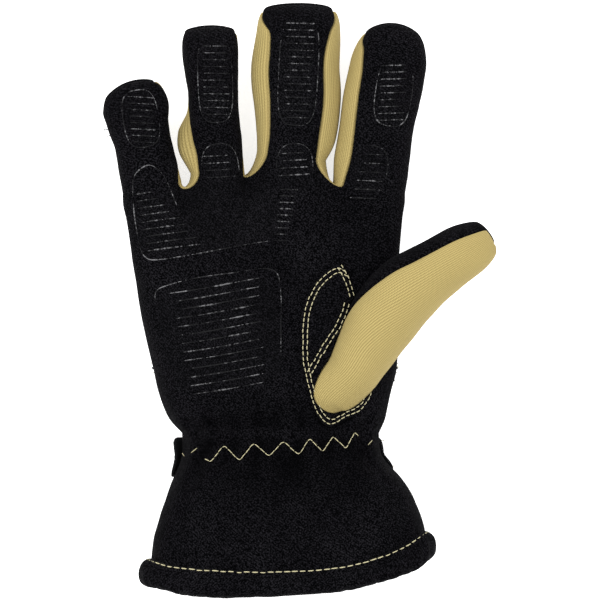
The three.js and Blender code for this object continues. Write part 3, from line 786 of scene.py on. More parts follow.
twillWeave, knitLoops, clothNap = makeTwill(), makeKnit(), makeNap()


def newMaterial(name, roughness, specular=0.5, sheen=0.0):
    material = bpy.data.materials.new(name)
    material.use_nodes = True
    tree = material.node_tree
    shader = tree.nodes["Principled BSDF"]
    shader.inputs["Roughness"].default_value = roughness
    shader.inputs["Specular IOR Level"].default_value = specular
    shader.inputs["Sheen Weight"].default_value = sheen
    shader.inputs["Sheen Roughness"].default_value = 0.4
    return material, tree, shader


def useGroup(tree, group, **sockets):
    return addNode(tree, "ShaderNodeGroup", sockets, node_tree=group)


def bumpFrom(tree, shader, height, strength, distance):
    bump = addNode(tree, "ShaderNodeBump", {"Height": height, "Strength": strength, "Distance": distance})
    tree.links.new(bump.outputs[0], shader.inputs["Normal"])


blackCloth = {
    "yarn": (0.0088, 0.0083, 0.0102, 1),
    "hollow": (0.0004, 0.0004, 0.0006, 1),
    "rubbed": (0.0165, 0.0158, 0.0185, 1),
    "lint": (0.045, 0.045, 0.048, 1),
    "film": (0.0022, 0.0022, 0.0026, 1),
    "rough": 0.95,
    "roughFilm": 0.8,
}


# Twill that shows its dark hollows, rubbed and linty in patches; on the palm the printed film smooths
# it and the pleats' valleys are darkened with painted shade
def makeBlackKnit(name, withFilm):
    material, tree, shader = newMaterial(name, blackCloth["rough"], 0.015, 0.008)
    cut, place = readPlaces(tree)
    weave = useGroup(tree, twillWeave, Vector=cut, Pitch=0.00165).outputs["Height"]
    nap = useGroup(tree, clothNap, Vector=place)
    height = addMath(tree, "MULTIPLY_ADD", nap.outputs["Fibre"], 0.55, weave)
    shade = addRange(tree, nap.outputs["Grain"], 0.45, 0.64, 0.0, 1.4)
    shade = addMath(tree, "MULTIPLY", shade, addMath(tree, "MULTIPLY_ADD", weave, 0.75, 0.2))
    colour = blendColour(tree, shade, blackCloth["hollow"], blackCloth["yarn"])
    rubbed = addRange(tree, nap.outputs["Patch"], 0.35, 0.75, 0.0, 0.6)
    rubbed = addMath(tree, "MULTIPLY", rubbed, shade, clamp=True)
    colour = blendColour(tree, rubbed, colour, blackCloth["rubbed"])
    lint = addMath(tree, "MULTIPLY", nap.outputs["Lint"], 0.5)
    colour = blendColour(tree, lint, colour, blackCloth["lint"])
    if withFilm:
        # Painted shade: the pleats' depth, read as the "valley" field, darkens the colour towards the
        # near-black of the hollows
        valley = addMath(tree, "MULTIPLY", readField(tree, "valley"), 0.5, clamp=True)
        colour = blendColour(tree, valley, colour, blackCloth["hollow"])
        film = readField(tree, "film")
        colour = blendColour(tree, addMath(tree, "MULTIPLY", film, 0.2), colour, blackCloth["film"])
        filled = addMath(tree, "SUBTRACT", 1.0, addMath(tree, "MULTIPLY", film, 0.55))
        height = addMath(tree, "MULTIPLY", height, filled)
        rough = addRange(tree, film, 0.0, 1.0, blackCloth["rough"], blackCloth["roughFilm"])
        tree.links.new(rough, shader.inputs["Roughness"])
    tree.links.new(colour, shader.inputs["Base Color"])
    bumpFrom(tree, shader, height, 0.8, 0.00035)
    return material


tanCloth = {"yarn": (0.5, 0.4, 0.16, 1), "hollow": (0.18, 0.135, 0.046, 1), "seamShade": (0.27, 0.2, 0.075, 1)}


# Knit loops over a plain yarn, darker in patches towards the seams with painted shade where the cloth rolls
# into them
def makeTanKnit():
    material, tree, shader = newMaterial("tanKnit", 0.9, 0.08, 0.04)
    cut, place = readPlaces(tree)
    loops = useGroup(tree, knitLoops, Vector=cut, Column=0.00105, Row=0.0008).outputs["Height"]
    nap = useGroup(tree, clothNap, Vector=place)
    colour = blendColour(tree, loops, tanCloth["hollow"], tanCloth["yarn"])
    colour = blendColour(tree, 0.93, tanCloth["yarn"], colour)
    # Painted shade: within 3 mm of a free edge, where the cloth rolls into its seam, the colour darkens in
    # noise patches
    seamShadeMask = addRange(tree, readField(tree, "edge"), 0.0, 3.0, 0.6, 0.0)
    seamShadeMask = addMath(tree, "MULTIPLY", seamShadeMask, nap.outputs["Patch"])
    colour = blendColour(tree, seamShadeMask, colour, tanCloth["seamShade"])
    tree.links.new(colour, shader.inputs["Base Color"])
    height = addMath(tree, "MULTIPLY_ADD", nap.outputs["Fibre"], 0.35, loops)
    bumpFrom(tree, shader, height, 0.5, 0.0003)
    return material


webbingLook = {"hollow": (0.0025, 0.0025, 0.003, 1), "yarn": (0.011, 0.011, 0.013, 1)}


def makeWebbing():
    material, tree, shader = newMaterial("strapWebbing", 0.85, 0.1, 0.01)
    cut = readPlaces(tree)[0]
    ribs = useGroup(tree, knitLoops, Vector=cut, Column=0.0014, Row=0.0012).outputs["Height"]
    colour = blendColour(tree, ribs, webbingLook["hollow"], webbingLook["yarn"])
    tree.links.new(colour, shader.inputs["Base Color"])
    bumpFrom(tree, shader, ribs, 0.7, 0.0003)
    return material


# The grey second colour is a painted highlight for the ribs' glints
gripLook = {"silicone": (0.0035, 0.0035, 0.0042, 1), "paintedGlint": (0.11, 0.11, 0.115, 1)}


# Dark silicone with painted highlights: grey specks where two noises meet stand in for its glints; the rubbed
# noise also lowers its roughness
def makeGrip():
    material, tree, shader = newMaterial("gripSilicone", 0.5, 0.15)
    place = readPlaces(tree)[1]
    grain, rubbed = addNoise(tree, place, 700.0, 3.0), addNoise(tree, place, 90.0, 3.0)
    rough = addRange(tree, rubbed, 0.4, 0.62, 0.7, 0.35)
    # Painted highlight: where the grain and rubbed noises are high, the colour turns grey like a glint
    paintedGlint = addRange(tree, addMath(tree, "MULTIPLY", grain, rubbed), 0.245, 0.34, 0.0, 1.0)
    colour = blendColour(tree, paintedGlint, gripLook["silicone"], gripLook["paintedGlint"])
    tree.links.new(colour, shader.inputs["Base Color"])
    tree.links.new(rough, shader.inputs["Roughness"])
    bumpFrom(tree, shader, grain, 0.6, 0.0003)
    return material


threadLook = {"shaded": (0.24, 0.21, 0.11, 1), "lit": (0.62, 0.58, 0.37, 1)}


# A thread's twist as painted light and shade: noise along its own length blends a shaded and a lit colour
def makeThread():
    material, tree, shader = newMaterial("sewingThread", 0.7, 0.2, 0.05)
    twist = addNoise(tree, readPlaces(tree)[0], 900.0, 2.0)
    colour = blendColour(tree, twist, threadLook["shaded"], threadLook["lit"])
    tree.links.new(colour, shader.inputs["Base Color"])
    bumpFrom(tree, shader, twist, 0.4, 0.0001)
    return material


blackKnit, blackPrinted = makeBlackKnit("blackKnit", False), makeBlackKnit("blackPrinted", True)
tanKnit, webbing, gripSilicone, sewingThread = makeTanKnit(), makeWebbing(), makeGrip(), makeThread()
print("materials made")

# Grip printed on the palm. Each pad is a superellipse about x, y; its rim is drawn from one share of a
# turn to another (0 is its right side and 0.25 its top).
pads = table("""
    x      y      width  height  lean  power  from   to
    -66.4  103.5  18.5   30      -9    3      0      1
    -27.8  123.5  18     44      -2    3.4    -0.62  0.12
    15.5   128    20.5   56      3     3.6    -0.62  0.12
    65     116.5  19     34      8     3      -0.6   0.1
    -25    78     19     25      -8    2.6    -0.04  0.5
    13.5   77     19     27      2     2.6    -0.02  0.52
    52.5   76     18     27      12    2.6    -0.02  0.3
    -32    52     76     34      -9    6      0      0
    -25    -8     62     56      -8    6      0      0
""")


# 1 within a pad, where |x / a|^n + |y / b|^n is below 1, and 0 outside it
def printedFilm(points):
    film = np.zeros(len(points))
    for pad in pads:
        aside, along = turned(points[:, 0] - pad["x"], points[:, 1] - pad["y"], pad["lean"])
        aside = np.abs(aside) * 2 / pad["width"]
        along = np.abs(along) * 2 / pad["height"]
        film = np.maximum(film, smooth((1.05 - aside ** pad["power"] - along ** pad["power"]) / 0.2))
    return film * (points[:, 2] > fingerForm["height"])


# The hand's panels
wall = cloth["wall"]
handPlaces = np.linspace(0, 1, grid["hand"] + 1)
cuffPlaces = -np.linspace(1, 0, grid["cuff"] + 1)


# Shares of a finger's length, even along its shaft and following the round of its cap
def fingerPlaces(tube, count):
    shaft = int(count * (1 - tube["cap"]) * 0.8)
    turn = np.linspace(0, np.pi / 2, count - shaft + 1)[1:]
    return np.concatenate([np.linspace(0, 1 - tube["cap"], shaft + 1), 1 - tube["cap"] * (1 - np.sin(turn))])


# Adds folds along the way from lining to skin, so that both sides of the cloth move together
def shaped(outer, inner, height):
    out = unit(outer - inner)
    move = out * height[..., None]
    return outer + move, inner + move


# The hand's own patch and one for each finger, which go on from its columns; folds die away at the
# knuckles, where a finger's own begin, and at the tips
def handPatches(side, places, foldsOf):
    outer, inner = handPoint(places, side, 0.0), handPoint(places, side, wall)
    fade = smooth((1 - places) / 0.1)[:, None]
    across, along = flatCut(outer)
    patches = [(*shaped(outer, inner, foldsOf(outer) * fade), (across, along))]
    for index, finger in enumerate(fingers):
        share = fingerPlaces(finger, grid["finger"])[:, None]
        outer, inner = [archPoint(index, share, archAcross, side, inset) for inset in (0.0, wall)]
        height = foldShare["fingers"] * relief(outer) * smooth(share / 0.15) * smooth((1 - share) / 0.2)
        first = index * (grid["arch"] + grid["crotch"])
        cut = flatCut(outer, along[-1], across[first:first + grid["arch"] + 1])
        patches.append((*shaped(outer, inner, height), cut))
    return patches


# Dents and pleats that fade towards the seams, where the palm turns down
def palmFolds(points):
    crown = smooth((points[..., 2] - fingerForm["height"]) / 12)
    return (relief(points) + pleating(points)) * crown


# Dents that fade towards the seams and where the back rests on the floor
def backFolds(points):
    height = points[..., 2]
    low = smooth((height - hand["restFlat"]) / 6) * smooth((fingerForm["height"] - height) / 10)
    return foldShare["back"] * relief(points) * low


print("hand panels")
palmPlaces = np.concatenate([cuffPlaces, handPlaces[1:]])
hemEnd = wrist["place"] - cuff["length"] * 0.85
# The palm's "valley" field is its pleats' depth, which blackPrinted turns into painted shade
palm = clothPiece(
    "palmPanel", handPatches(1, palmPlaces, palmFolds), blackPrinted,
    plainEdge=lambda p: p[:, 1] < hemEnd, fields={"film": printedFilm, "valley": lambda p: -pleating(p)},
)
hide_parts("palm_panel")
rowApart = 0.004  # rows of a grid that would lie closer to its edge are left out
backPlaces = np.concatenate([[hand["backSplit"]], handPlaces[handPlaces > hand["backSplit"] + rowApart]])
back = clothPiece("backPanel", handPatches(-1, backPlaces, backFolds), blackKnit, flip=True)
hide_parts("back_panel")

lastPlace = hand["backSplit"] - cloth["seamGap"] / hand["length"]
heelPlaces = handPlaces[(handPlaces > 0) & (handPlaces < lastPlace - rowApart)]
lowPlaces = np.concatenate([cuffPlaces, heelPlaces, [lastPlace]])
outer, inner = bodyPoint(lowPlaces, -1, 0.0), bodyPoint(lowPlaces, -1, wall)
lowBack = (*shaped(outer, inner, backFolds(outer)), flatCut(outer))
backCuff = clothPiece("backCuff", [lowBack], blackKnit, flip=True, plainEdge=lambda p: p[:, 1] < hemEnd)
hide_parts("back_cuff")


# A side strip down one finger, round the crotch and up the next: three grids end to end
def fourchetteGrid(index, inset):
    across = edgeSpaced(grid["strip"])
    along = np.linspace(0, 0.965, grid["finger"] + 1)[:, None]
    down = stripPoint(index, along[::-1], across, True, inset)
    up = stripPoint(index + 1, along, across, False, inset)
    turns = crotchTurns[:, :, None]
    bend = bendPoint(down[-1][None], up[0][None], turns, inset)
    return np.concatenate([down, bend, up])


print("side strips")
stripForm = {"ripple": 0.25, "rippleRun": 5.3, "roll": 0.9}
for index, (left, right) in enumerate(zip(fingerNames, fingerNames[1:])):
    outer, inner = fourchetteGrid(index, 0.0), fourchetteGrid(index, wall)
    wave = np.sin(np.arange(len(outer))[:, None] / stripForm["rippleRun"] + index)
    ripple = stripForm["ripple"] * wave * np.sin(np.pi * np.linspace(0, 1, outer.shape[1]))
    name = f"fourchette{left.title()}{right.title()}"
    patches = [(*shaped(outer, inner, ripple), flatCut(outer))]
    strip = clothPiece(name, patches, tanKnit, roll=stripForm["roll"])
    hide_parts(f"fourchette_{left}_{right}")

# The thumb
thumb = {
    "length": 127.0, "width": 43.0, "depth": 37.0, "heading": 43.0, "rise": 22.0, "bend": 1.2,
    "cap": 0.16, "tip": 0.6, "rounded": 5.0, "squareness": 2.1, "aside": 0.42, "up": 0.08, "sunk": 13.0,
    "seated": 2.0,  # how far its skin goes on below the palm's
    "rows": table("""
        at    drift  width  depth  seam
        0     -0.04  0.38   0.5    178
        0.06  -0.1   0.64   0.74   176
        0.2   -0.1   0.69   0.96   172
        0.34  -0.18  0.79   1.04   170
        0.46  -0.25  0.86   1.03   154
        0.6   -0.27  0.85   1      134
        0.78  -0.168 0.715  0.9    125
        1     0.02   0.62   0.78   120
    """),
}


# A place on the palm from its shares of the half width and of the length
def onPalm(aside, up):
    return [hand["palmCentre"] + aside * knuckleSpan / 2, wrist["place"] + up * hand["length"]]


thumb["root"] = np.array([*onPalm(thumb["aside"], thumb["up"]), hand["palmDepth"] - thumb["sunk"]])


# Half of the thumb's skin: from its palm-side seam round the tan side (1) or the black side (-1)
def thumbGrid(side, inset):
    along = fingerPlaces(thumb, grid["thumb"])[:, None]
    across = edgeSpaced(grid["thumbAcross"])
    seam = readRow(thumb["rows"], "seam", along)
    facing = math.radians(float(readRow(thumb["rows"], "seam", 0.5)) + 90)
    turn = math.radians(thumb["heading"])
    apart = np.array([
        math.cos(facing) * math.cos(turn), -math.cos(facing) * math.sin(turn), math.sin(facing),
    ]) * (0 if side > 0 else cloth["seamGap"])
    return tubePoint(thumb, along, seam - side * 180 * across, inset, thumb["squareness"]) + apart


# How high a point stands above the palm's skin: compared with the nearest skin vertex in plan, and
# far above it where there is none
def abovePalm(points, beside=2.5, clear=99):
    skin = skins["palmPanel"]
    top = skin["normals"][:, 2] > facingUp
    best, reach = nearest(points[:, :2], skin["points"][top][:, :2])
    height = points[:, 2] - skin["points"][top][best][:, 2]
    return np.where(reach > beside, clear, height)


print("thumb")
dentShift = np.array([33, 12, 0])  # the thumb gets other dents than the palm below it
thumbHalves = ((1, "thumbBack", "thumb_back", tanKnit), (-1, "thumbFront", "thumb_front", blackKnit))
for side, name, node, material in thumbHalves:
    outer, inner = thumbGrid(side, 0.0), thumbGrid(side, wall)
    height = foldShare["thumb"] * relief(outer + dentShift)
    piece = clothPiece(
        name, [(*shaped(outer, inner, height), flatCut(outer))], material,
        keep=lambda p: abovePalm(p) > -thumb["seated"], flip=side < 0,
    )
    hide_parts(node)


# The crescent sewn round the thumb's root
patch = {
    "thickness": 1.2,
    "seat": 0.8,
    "reach": 54.0,
    "pivot": np.array(onPalm(0.68, 0.42)),
    "innerReach": 0.3,
    "clearance": 0.6,
    "stitchRows": (1.6, 4.0),  # from the rim
    "dentDepth": 0.28,
    "dentWidth": 0.55,
    "rows": table("""
        at   reach
        103  0.57
        111  0.645
        123  0.64
        143  0.61
        173  0.58
        192  0.595
        216  0.69
        230  0.79
        242  0.925
        252  1
        260  0.9
        271  0.8
        283  0.6
    """),
}


# The palm's skin over any point of the plan, without its small folds
def palmHeight(x, y):
    place = np.clip((y - wrist["place"]) / hand["length"], 0, 1)
    part = section(place)
    share = np.clip((x - part["centre"]) / part["half"], -1, 1)
    angle = np.arccos(bulge(share, hand["squareness"] / 2))
    high = np.sin(angle) ** (2 / hand["squareness"])
    rise = part["top"] - part["seam"] + gather(1 - angle / np.pi, place)
    return part["seam"] + high * rise + cloth["seamGap"]


# Points of the plan at a turn in degrees and a distance from the pivot
def crescentPlan(turn, reach):
    turn = np.radians(turn)
    return patch["pivot"] + np.stack([reach * np.cos(turn), reach * np.sin(turn)], -1)


# The crescent's inner edge: along each ray from the pivot, the last point within the thumb's skin,
# averaged with its neighbours
def crescentInner(turns, reach):
    shares = np.linspace(patch["innerReach"], 1, 140)
    plan = crescentPlan(turns[:, None], reach[:, None] * shares)
    height = palmHeight(plan[..., 0], plan[..., 1]) + patch["seat"] + patch["thickness"] / 2
    points = np.concatenate([plan, height[..., None]], -1).reshape(-1, 3)
    halves = skins["thumbBack"], skins["thumbFront"]
    skin, normals = [np.concatenate([half[key] for half in halves]) for key in ("points", "normals")]
    best = nearest(points, skin)[0]
    inside = ((points - skin[best]) * normals[best]).sum(1).reshape(plan.shape[:2]) < patch["clearance"]
    last = np.where(inside, shares, 0).max(1)
    padded = np.pad(np.maximum(last, patch["innerReach"]), 4, mode="edge")
    return np.minimum(np.convolve(padded, np.ones(9) / 9, "valid"), 0.97)


# Rays from the inner edge to the rim, laid on the palm, with a Gaussian dent along each row of stitches
def crescent():
    turns = np.linspace(patch["rows"][-1]["at"], patch["rows"][0]["at"], grid["patch"] + 1)
    reach = patch["reach"] * readRow(patch["rows"], "reach", turns)
    inner = crescentInner(turns, reach)
    across = edgeSpaced(grid["patchAcross"])[None, :]
    distance = reach[:, None] * mix(inner[:, None], 1, across)
    plan = crescentPlan(turns[:, None], distance)
    height = palmHeight(plan[..., 0], plan[..., 1]) + patch["seat"]
    low = np.concatenate([plan, height[..., None]], -1)
    low[..., 2] += foldShare["patch"] * palmFolds(low)
    rim = reach[:, None] - distance
    dents = sum(np.exp(-(((rim - row) / patch["dentWidth"]) ** 2)) for row in patch["stitchRows"])
    top = low + np.array([0, 0, 1]) * (patch["thickness"] - patch["dentDepth"] * dents)[..., None]
    return top, low


print("patch")
outer, inner = crescent()
thumbPatch = clothPiece("thumbPatch", [(outer, inner, flatCut(outer))], blackKnit, roll=0.4, flip=True)
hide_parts("thumb_patch")

# The folded band that binds the cuff's edge
hem = {
    "steps": 16,
    "turns": 18,
    "reach": 11.2,
    "swell": 1.3,
    "hang": 3.0,
    "groove": 0.25,
    "shoulder": 3.6,
    "round": 11,
    "rowUp": 0.94,  # where its stitches run, between the lower edge and the groove
    "lump": 0.3,
    "pucker": 0.35,
}
# How far the row of stitches and the lower edge are lifted along x, and how far both ends draw in
hemRows = table("""
    at   row   edge  drawnIn  bulge
    -70  4.8   2.4   3.4      1.7
    -57  0.8   2.7   3.4      1.7
    -45  -0.4  1.1   3.4      1.7
    -24  -1.1  0.7   3        1
    -7   -1.7  0.9   3        1
    15   -2.8  0     3        0.5
    40   -3.7  -2.1  2.8      0.3
    58   -2.6  -2.3  2.8      0.3
    70   0     -2.2  2.8      0.3
    80   3.1   -1.2  2.8      0.3
    88   4.6   1.4   2.8      0.3
""")


# The hem's own run, where up is 0 at its lower edge and 1 at its row of stitches: the lift is mixed
# between them, and near both ends the edges draw in as a parabola and the middle bulges
def alongHem(points, up):
    x = points[..., 0]
    row, edge, drawnIn, bulging = [readRow(hemRows, name, x) for name in ("row", "edge", "drawnIn", "bulge")]
    left, right = np.min(x), np.max(x)
    near = smooth(1 - np.minimum(x - left, right - x) / hem["round"])
    inward = near * (drawnIn * (2 * up - 1) ** 2 - bulging)
    moved = points.copy()
    moved[..., 0] += inward * np.where(x - left < right - x, 1, -1)
    moved[..., 1] += mix(edge, row, up)
    return moved


# The hem's section is a fat U: outside, it rises from the row of stitches as a quarter of a circle, and round
# the edge it is half of an ellipse
def hemGrid(rim, drop, top):
    up = np.linspace(top, 0, hem["steps"] + 1)
    turn = np.linspace(0, np.pi, hem["turns"] + 1)[1:-1]
    half = wall / 2
    shoulder = np.sqrt(1 - np.clip(1 - (top - up) / hem["shoulder"], 0, 1) ** 2)
    outside = mix(min(rim, gap + hem["groove"]), rim, shoulder)
    bottom = (half + rim) * np.cos(turn) - half
    outwards = np.concatenate([outside, bottom, np.full(len(up), -wall - min(rim, cuff["hemCloth"] + gap))])
    upwards = np.concatenate([up, -drop * np.sin(turn), up[::-1] * cuff["hemHeight"] / top])
    place, inset = upwards / cuff["length"] - 1, -outwards[:, None]
    front, back = bodyPoint(place, 1, inset), bodyPoint(place, -1, inset)
    points = np.concatenate([front, back[:, ::-1], front[:, :1]], axis=1)
    return alongHem(points, np.clip((upwards + hem["hang"]) / (top + hem["hang"]), 0, 1)[:, None])


print("hem and strap")
gap = cloth["seamGap"]
rim = cuff["hemCloth"] + gap
outer = hemGrid(rim + hem["swell"], hem["hang"], hem["reach"])
inner = hemGrid(gap - 0.05, gap, hem["reach"])
around = np.linspace(0, 2 * np.pi, outer.shape[1])[None, :]
down = np.linspace(0, 1, len(outer))[:, None]
# Uneven lumps are sines whose own phase sways; finer puckers sit under the row of stitches
lumps = hem["lump"] * np.sin(23 * around + 2 * np.sin(7 * around))
lumps = lumps + 0.22 * np.sin(41 * around + 3 * np.sin(3 * around))
puckers = hem["pucker"] * np.sin(118 * around + 2 * np.sin(9 * around))
puckers = puckers * np.exp(-(((down - 0.1) / 0.09) ** 2))
outer = outer + unit(outer - inner) * (lumps * np.sin(np.pi * np.clip(down * 1.6, 0, 1)) + puckers)[..., None]
outer[..., 2] = np.maximum(outer[..., 2], 0.05)
cuffHem = clothPiece("cuffHem", [(outer, inner, flatCut(outer))], blackKnit, roll=0.7, flip=True)
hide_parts("cuff_hem")

# The strap across the back of the wrist, whose free end hangs straight beside the little finger's edge
strap = {
    "width": 19.0, "place": 2.0, "thickness": 1.8, "leftCorner": 6.0, "rightCorner": 8.0, "hidden": 3,
    "standOff": 3.6, "flareReach": 4 / 33, "ribs": 6, "ribDepth": 0.12,
}
strapShares = edgeSpaced(20, 0.4)[::-1]
strapPlaces = -(strap["place"] + strap["width"] * strapShares) / cuff["length"]


# The body's own section, standing off as a parabola near the free end, and narrowed to its middle line
# as a quarter of a circle at each corner
def strapGrid(depth):
    share = np.linspace(0, 1, columns + 1)
    fade = np.maximum(0, 1 - share / strap["flareReach"]) ** 2
    stand = strap["standOff"] * (1 - strapShares)[:, None] * fade
    points = bodyPoint(strapPlaces, -1, depth - gap - strap["thickness"] - stand)[:, :-strap["hidden"]]
    middle = points[len(points) // 2]
    along = lengthAlong(middle)
    narrow = 1.0
    for reach, corner in ((along, strap["leftCorner"]), (along[-1] - along, strap["rightCorner"])):
        cutBack = 1 - np.sqrt(1 - np.clip(1 - reach / corner, 0, 1) ** 2)
        narrow = narrow - cutBack * corner * 2 / strap["width"]
    return mix(middle[None], points, narrow[None, :, None])


outer, inner = strapGrid(0.0), strapGrid(strap["thickness"])
ribbing = strap["ribDepth"] * np.cos(2 * strap["ribs"] * np.pi * strapShares)[:, None] - strap["ribDepth"]
ribbed = shaped(outer, inner, ribbing + 0 * outer[..., 0])
strapPiece = clothPiece("wristStrap", [(*ribbed, flatCut(outer))], webbing, roll=0.5, flip=True)
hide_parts("wrist_strap")


# Points in plan, evenly spaced along a smooth curve through the rows of a table
def curveThrough(rows, step=0.8):
    plan = np.array([[row["x"], row["y"]] for row in rows])
    at = lengthAlong(plan)
    placed = [{"at": a, "x": x, "y": y} for a, (x, y) in zip(at, plan)]
    t = np.linspace(0, at[-1], int(at[-1] / step) + 2)
    return np.stack([readRow(placed, "x", t), readRow(placed, "y", t)], -1)


# Softens a path along its length by averaging neighbours
def softened(path, rounds=3):
    for _ in range(rounds):
        path[1:-1] = (path[:-2] + 2 * path[1:-1] + path[2:]) / 4
    return path


grip = {"ribWidth": 0.5, "ribHeight": 0.55, "rimWidth": 0.4, "rimHeight": 0.45, "seat": -0.16, "steps": 56}
ribs = table("""
    x0     y0    x1     y1     count  length  lengthEnd  slope  strong
    -74    115   -71    91.5   8      14.5    12.5       -4     0.8
    -35    141   -33.8  105.5  11     14.5    14         0      0.8
    9      153   6.5    104    15     15.5    15         0      0.7
    58.5   131   56     102.5  9      14      15         3      0.5
    -34    84    -32.5  73     4      13      17         3      0.15
    6      85.5  4.5    74     4      14      17         2      0.7
    51.5   85    42     62.5   6      8.5     17         -4     0.5
    -69.5  63.9  -63.5  34.4   9      9       32         8      0.3
    5.6    66.5  2.6    39.9   9      10.5    7          -1     0.4
    -52.3  12.4  -40    -40    13     50      39         9.5    0.4
""")
contours = [
    table("""
        x      y
        -70.8  70
        -70    55
        -68    42
        -65.5  33
        -61    30
        -40.4  32.7
        -11.8  38
        8      41
    """),
    table("""
        x      y
        -58.7  6
        -58.9  13
        -56    15.6
        -39.3  20.3
        -15.2  23.8
        -1     25.6
        4.5    23
        6.4    12
        6.4    -4
        6.4    -32
    """),
    table("""
        x      y
        -70.8  63
        -69.7  74
        -62.2  79.4
        -55    74.4
        -47.5  58
    """),
]


wear = {"run": 9, "base": 0.72, "wave": 0.3, "least": 0.62, "speckle": 0.2, "thinnest": 0.12, "thickest": 1.1}


# Wear: waves along a rib thin it here and there, and it is strongest at one share of its length, from
# which it fades as a Gaussian; where it is thin it sinks into the cloth.
def worn(steps, count=1, strong=0.5, fade=0.5):
    t = np.linspace(0, 1, steps)[None, :]
    turn = t * steps / wear["run"] + chance.random((count, 1)) * wear["run"]
    wave = wear["base"] + wear["wave"] * np.sin(turn * 2.3 + 1.5 * np.sin(turn * 0.9))
    kept = wear["least"] + (1 - wear["least"]) * np.exp(-(((t - strong) / fade) ** 2))
    speckle = wear["speckle"] * chance.standard_normal((count, steps))
    return np.clip((wave + speckle) * kept, wear["thinnest"], wear["thickest"])


print("grip")
steps = grip["steps"]
for number, field in enumerate(ribs):
    count = int(field["count"])
    share = np.linspace(0, 1, count)[:, None]
    start = np.concatenate([mix(field["x0"], field["x1"], share), mix(field["y0"], field["y1"], share)], 1)
    length = mix(field["length"], field["lengthEnd"], share)
    slope = math.radians(field["slope"])
    run = np.linspace(0, 1, steps)[None, :] * length
    plan = start[:, None] + np.stack([run * math.cos(slope), run * math.sin(slope)], -1)
    plan[..., 1] += 0.25 * np.sin(run / 9 + number)
    points, normals = settle("palmPanel", plan.reshape(-1, 2), grip["seat"])
    points, normals = points.reshape(count, steps, 3), normals.reshape(count, steps, 3)
    points = softened(points.transpose(1, 0, 2)).transpose(1, 0, 2)
    kept = worn(steps, count, field["strong"])
    width, height = grip["ribWidth"] * kept, grip["ribHeight"] * kept
    sweep(f"gripRibs{number}", points, normals, width, height, gripSilicone)

lines = [curveThrough(rows) for rows in contours]
for pad in pads:
    if pad["to"] > 0:
        t = 2 * np.pi * np.linspace(pad["from"], pad["to"], 150)
        x = pad["width"] / 2 * bulge(np.cos(t), 2 / pad["power"])
        y = pad["height"] / 2 * bulge(np.sin(t), 2 / pad["power"])
        lines.append(np.stack(turned(x, y, -pad["lean"]), -1) + np.array([pad["x"], pad["y"]]))
for number, plan in enumerate(lines):
    points, normals = settle("palmPanel", plan, grip["seat"])
    kept = worn(len(plan), fade=1.5)
    width, height = grip["rimWidth"] * kept, grip["rimHeight"] * kept
    sweep(f"gripRim{number}", softened(points)[None], normals[None], width, height, gripSilicone)

# Sewing
sewing = {
    "radius": 0.25,
    "length": 2.4,
    "pitch": 2.85,
    "lift": 0.14,
    "apart": 2.2,
    "points": 8,
    "stray": 0.08,
    "sway": 0.12,
}
wristSewing = {"pitch": 3.5, "length": 3.6, "radius": 0.22}
tackSewing = {"pitch": 9, "length": 4.2, "radius": 0.17}
hemSewing = {"pitch": 4.1, "length": 3.5, "radius": 0.31}
backSewing = {"pitch": 3.4, "length": 2.5}


# A row of stitches along a path on the cloth: each is a thread that comes out, arches and goes in again
def stitchRow(name, path, normals, pitch=None, length=None, radius=None):
    pitch, length = pitch or sewing["pitch"], length or sewing["length"]
    radius = radius or sewing["radius"]
    arc = lengthAlong(path)
    count = max(int(arc[-1] / pitch), 1)
    middle = (np.arange(count) + 0.5) * arc[-1] / count + chance.normal(0, sewing["stray"], count)
    t = np.linspace(-1, 1, sewing["points"])
    at = middle[:, None] + t * length / 2 * chance.uniform(0.88, 1.08, (count, 1))
    points = np.stack([np.interp(at, arc, path[:, k]) for k in range(3)], -1)
    out = unit(np.stack([np.interp(at, arc, normals[:, k]) for k in range(3)], -1))
    points += out * (sewing["lift"] + radius * (0.9 - 1.5 * t**4))[None, :, None]
    aside = np.cross(out, unit(np.gradient(points, axis=1)))
    points += aside * chance.normal(0, sewing["sway"], (count, 1, 1))
    return sweep(name, points, out, radius, radius * 0.85, sewingThread, blunt=5)


# A path moved to its left, square to its run
def sideways(plan, distance):
    along = unit(np.gradient(plan, axis=0))
    return plan + np.stack([-along[:, 1], along[:, 0]], -1) * distance


# A row of stitches along a path in plan, settled on a skin
def stitchOn(skin, name, plan, **sizes):
    points, normals = settle(skin, plan)
    return stitchRow(name, softened(points), normals, **sizes)


# Along one place of the hand or cuff, between two shares of its columns
def bodyPath(side, place, lift, first=0.0, last=1.0):
    line, under = [bodyPoint(np.array([place]), side, inset)[0] for inset in (-lift, 1.0)]
    share = np.linspace(0, 1, len(line))
    kept = (share >= first) & (share <= last)
    return line[kept], unit(line - under)[kept]


print("sewing")
turns = np.linspace(patch["rows"][0]["at"] + 1, patch["rows"][-1]["at"] - 3, 300)
reach = patch["reach"] * readRow(patch["rows"], "reach", turns)
for number, row in enumerate(patch["stitchRows"]):
    stitchOn("thumbPatch", f"patchStitches{number}", crescentPlan(turns, reach - row))
patchSeams = [
    table("""
        x     y
        22    -29.5
        29.7  -16.3
        36    -6.5
        39.6  0.6
        41.8  7.6
    """),
    table("""
        x     y
        35.6  26.6
        39.5  19.5
        42.3  10.2
    """),
]
for number, rows in enumerate(patchSeams):
    plan = curveThrough(rows)
    for row in (0, 1):
        stitchOn("thumbPatch", f"patchSeam{number}{row}", sideways(plan, row * sewing["apart"]))

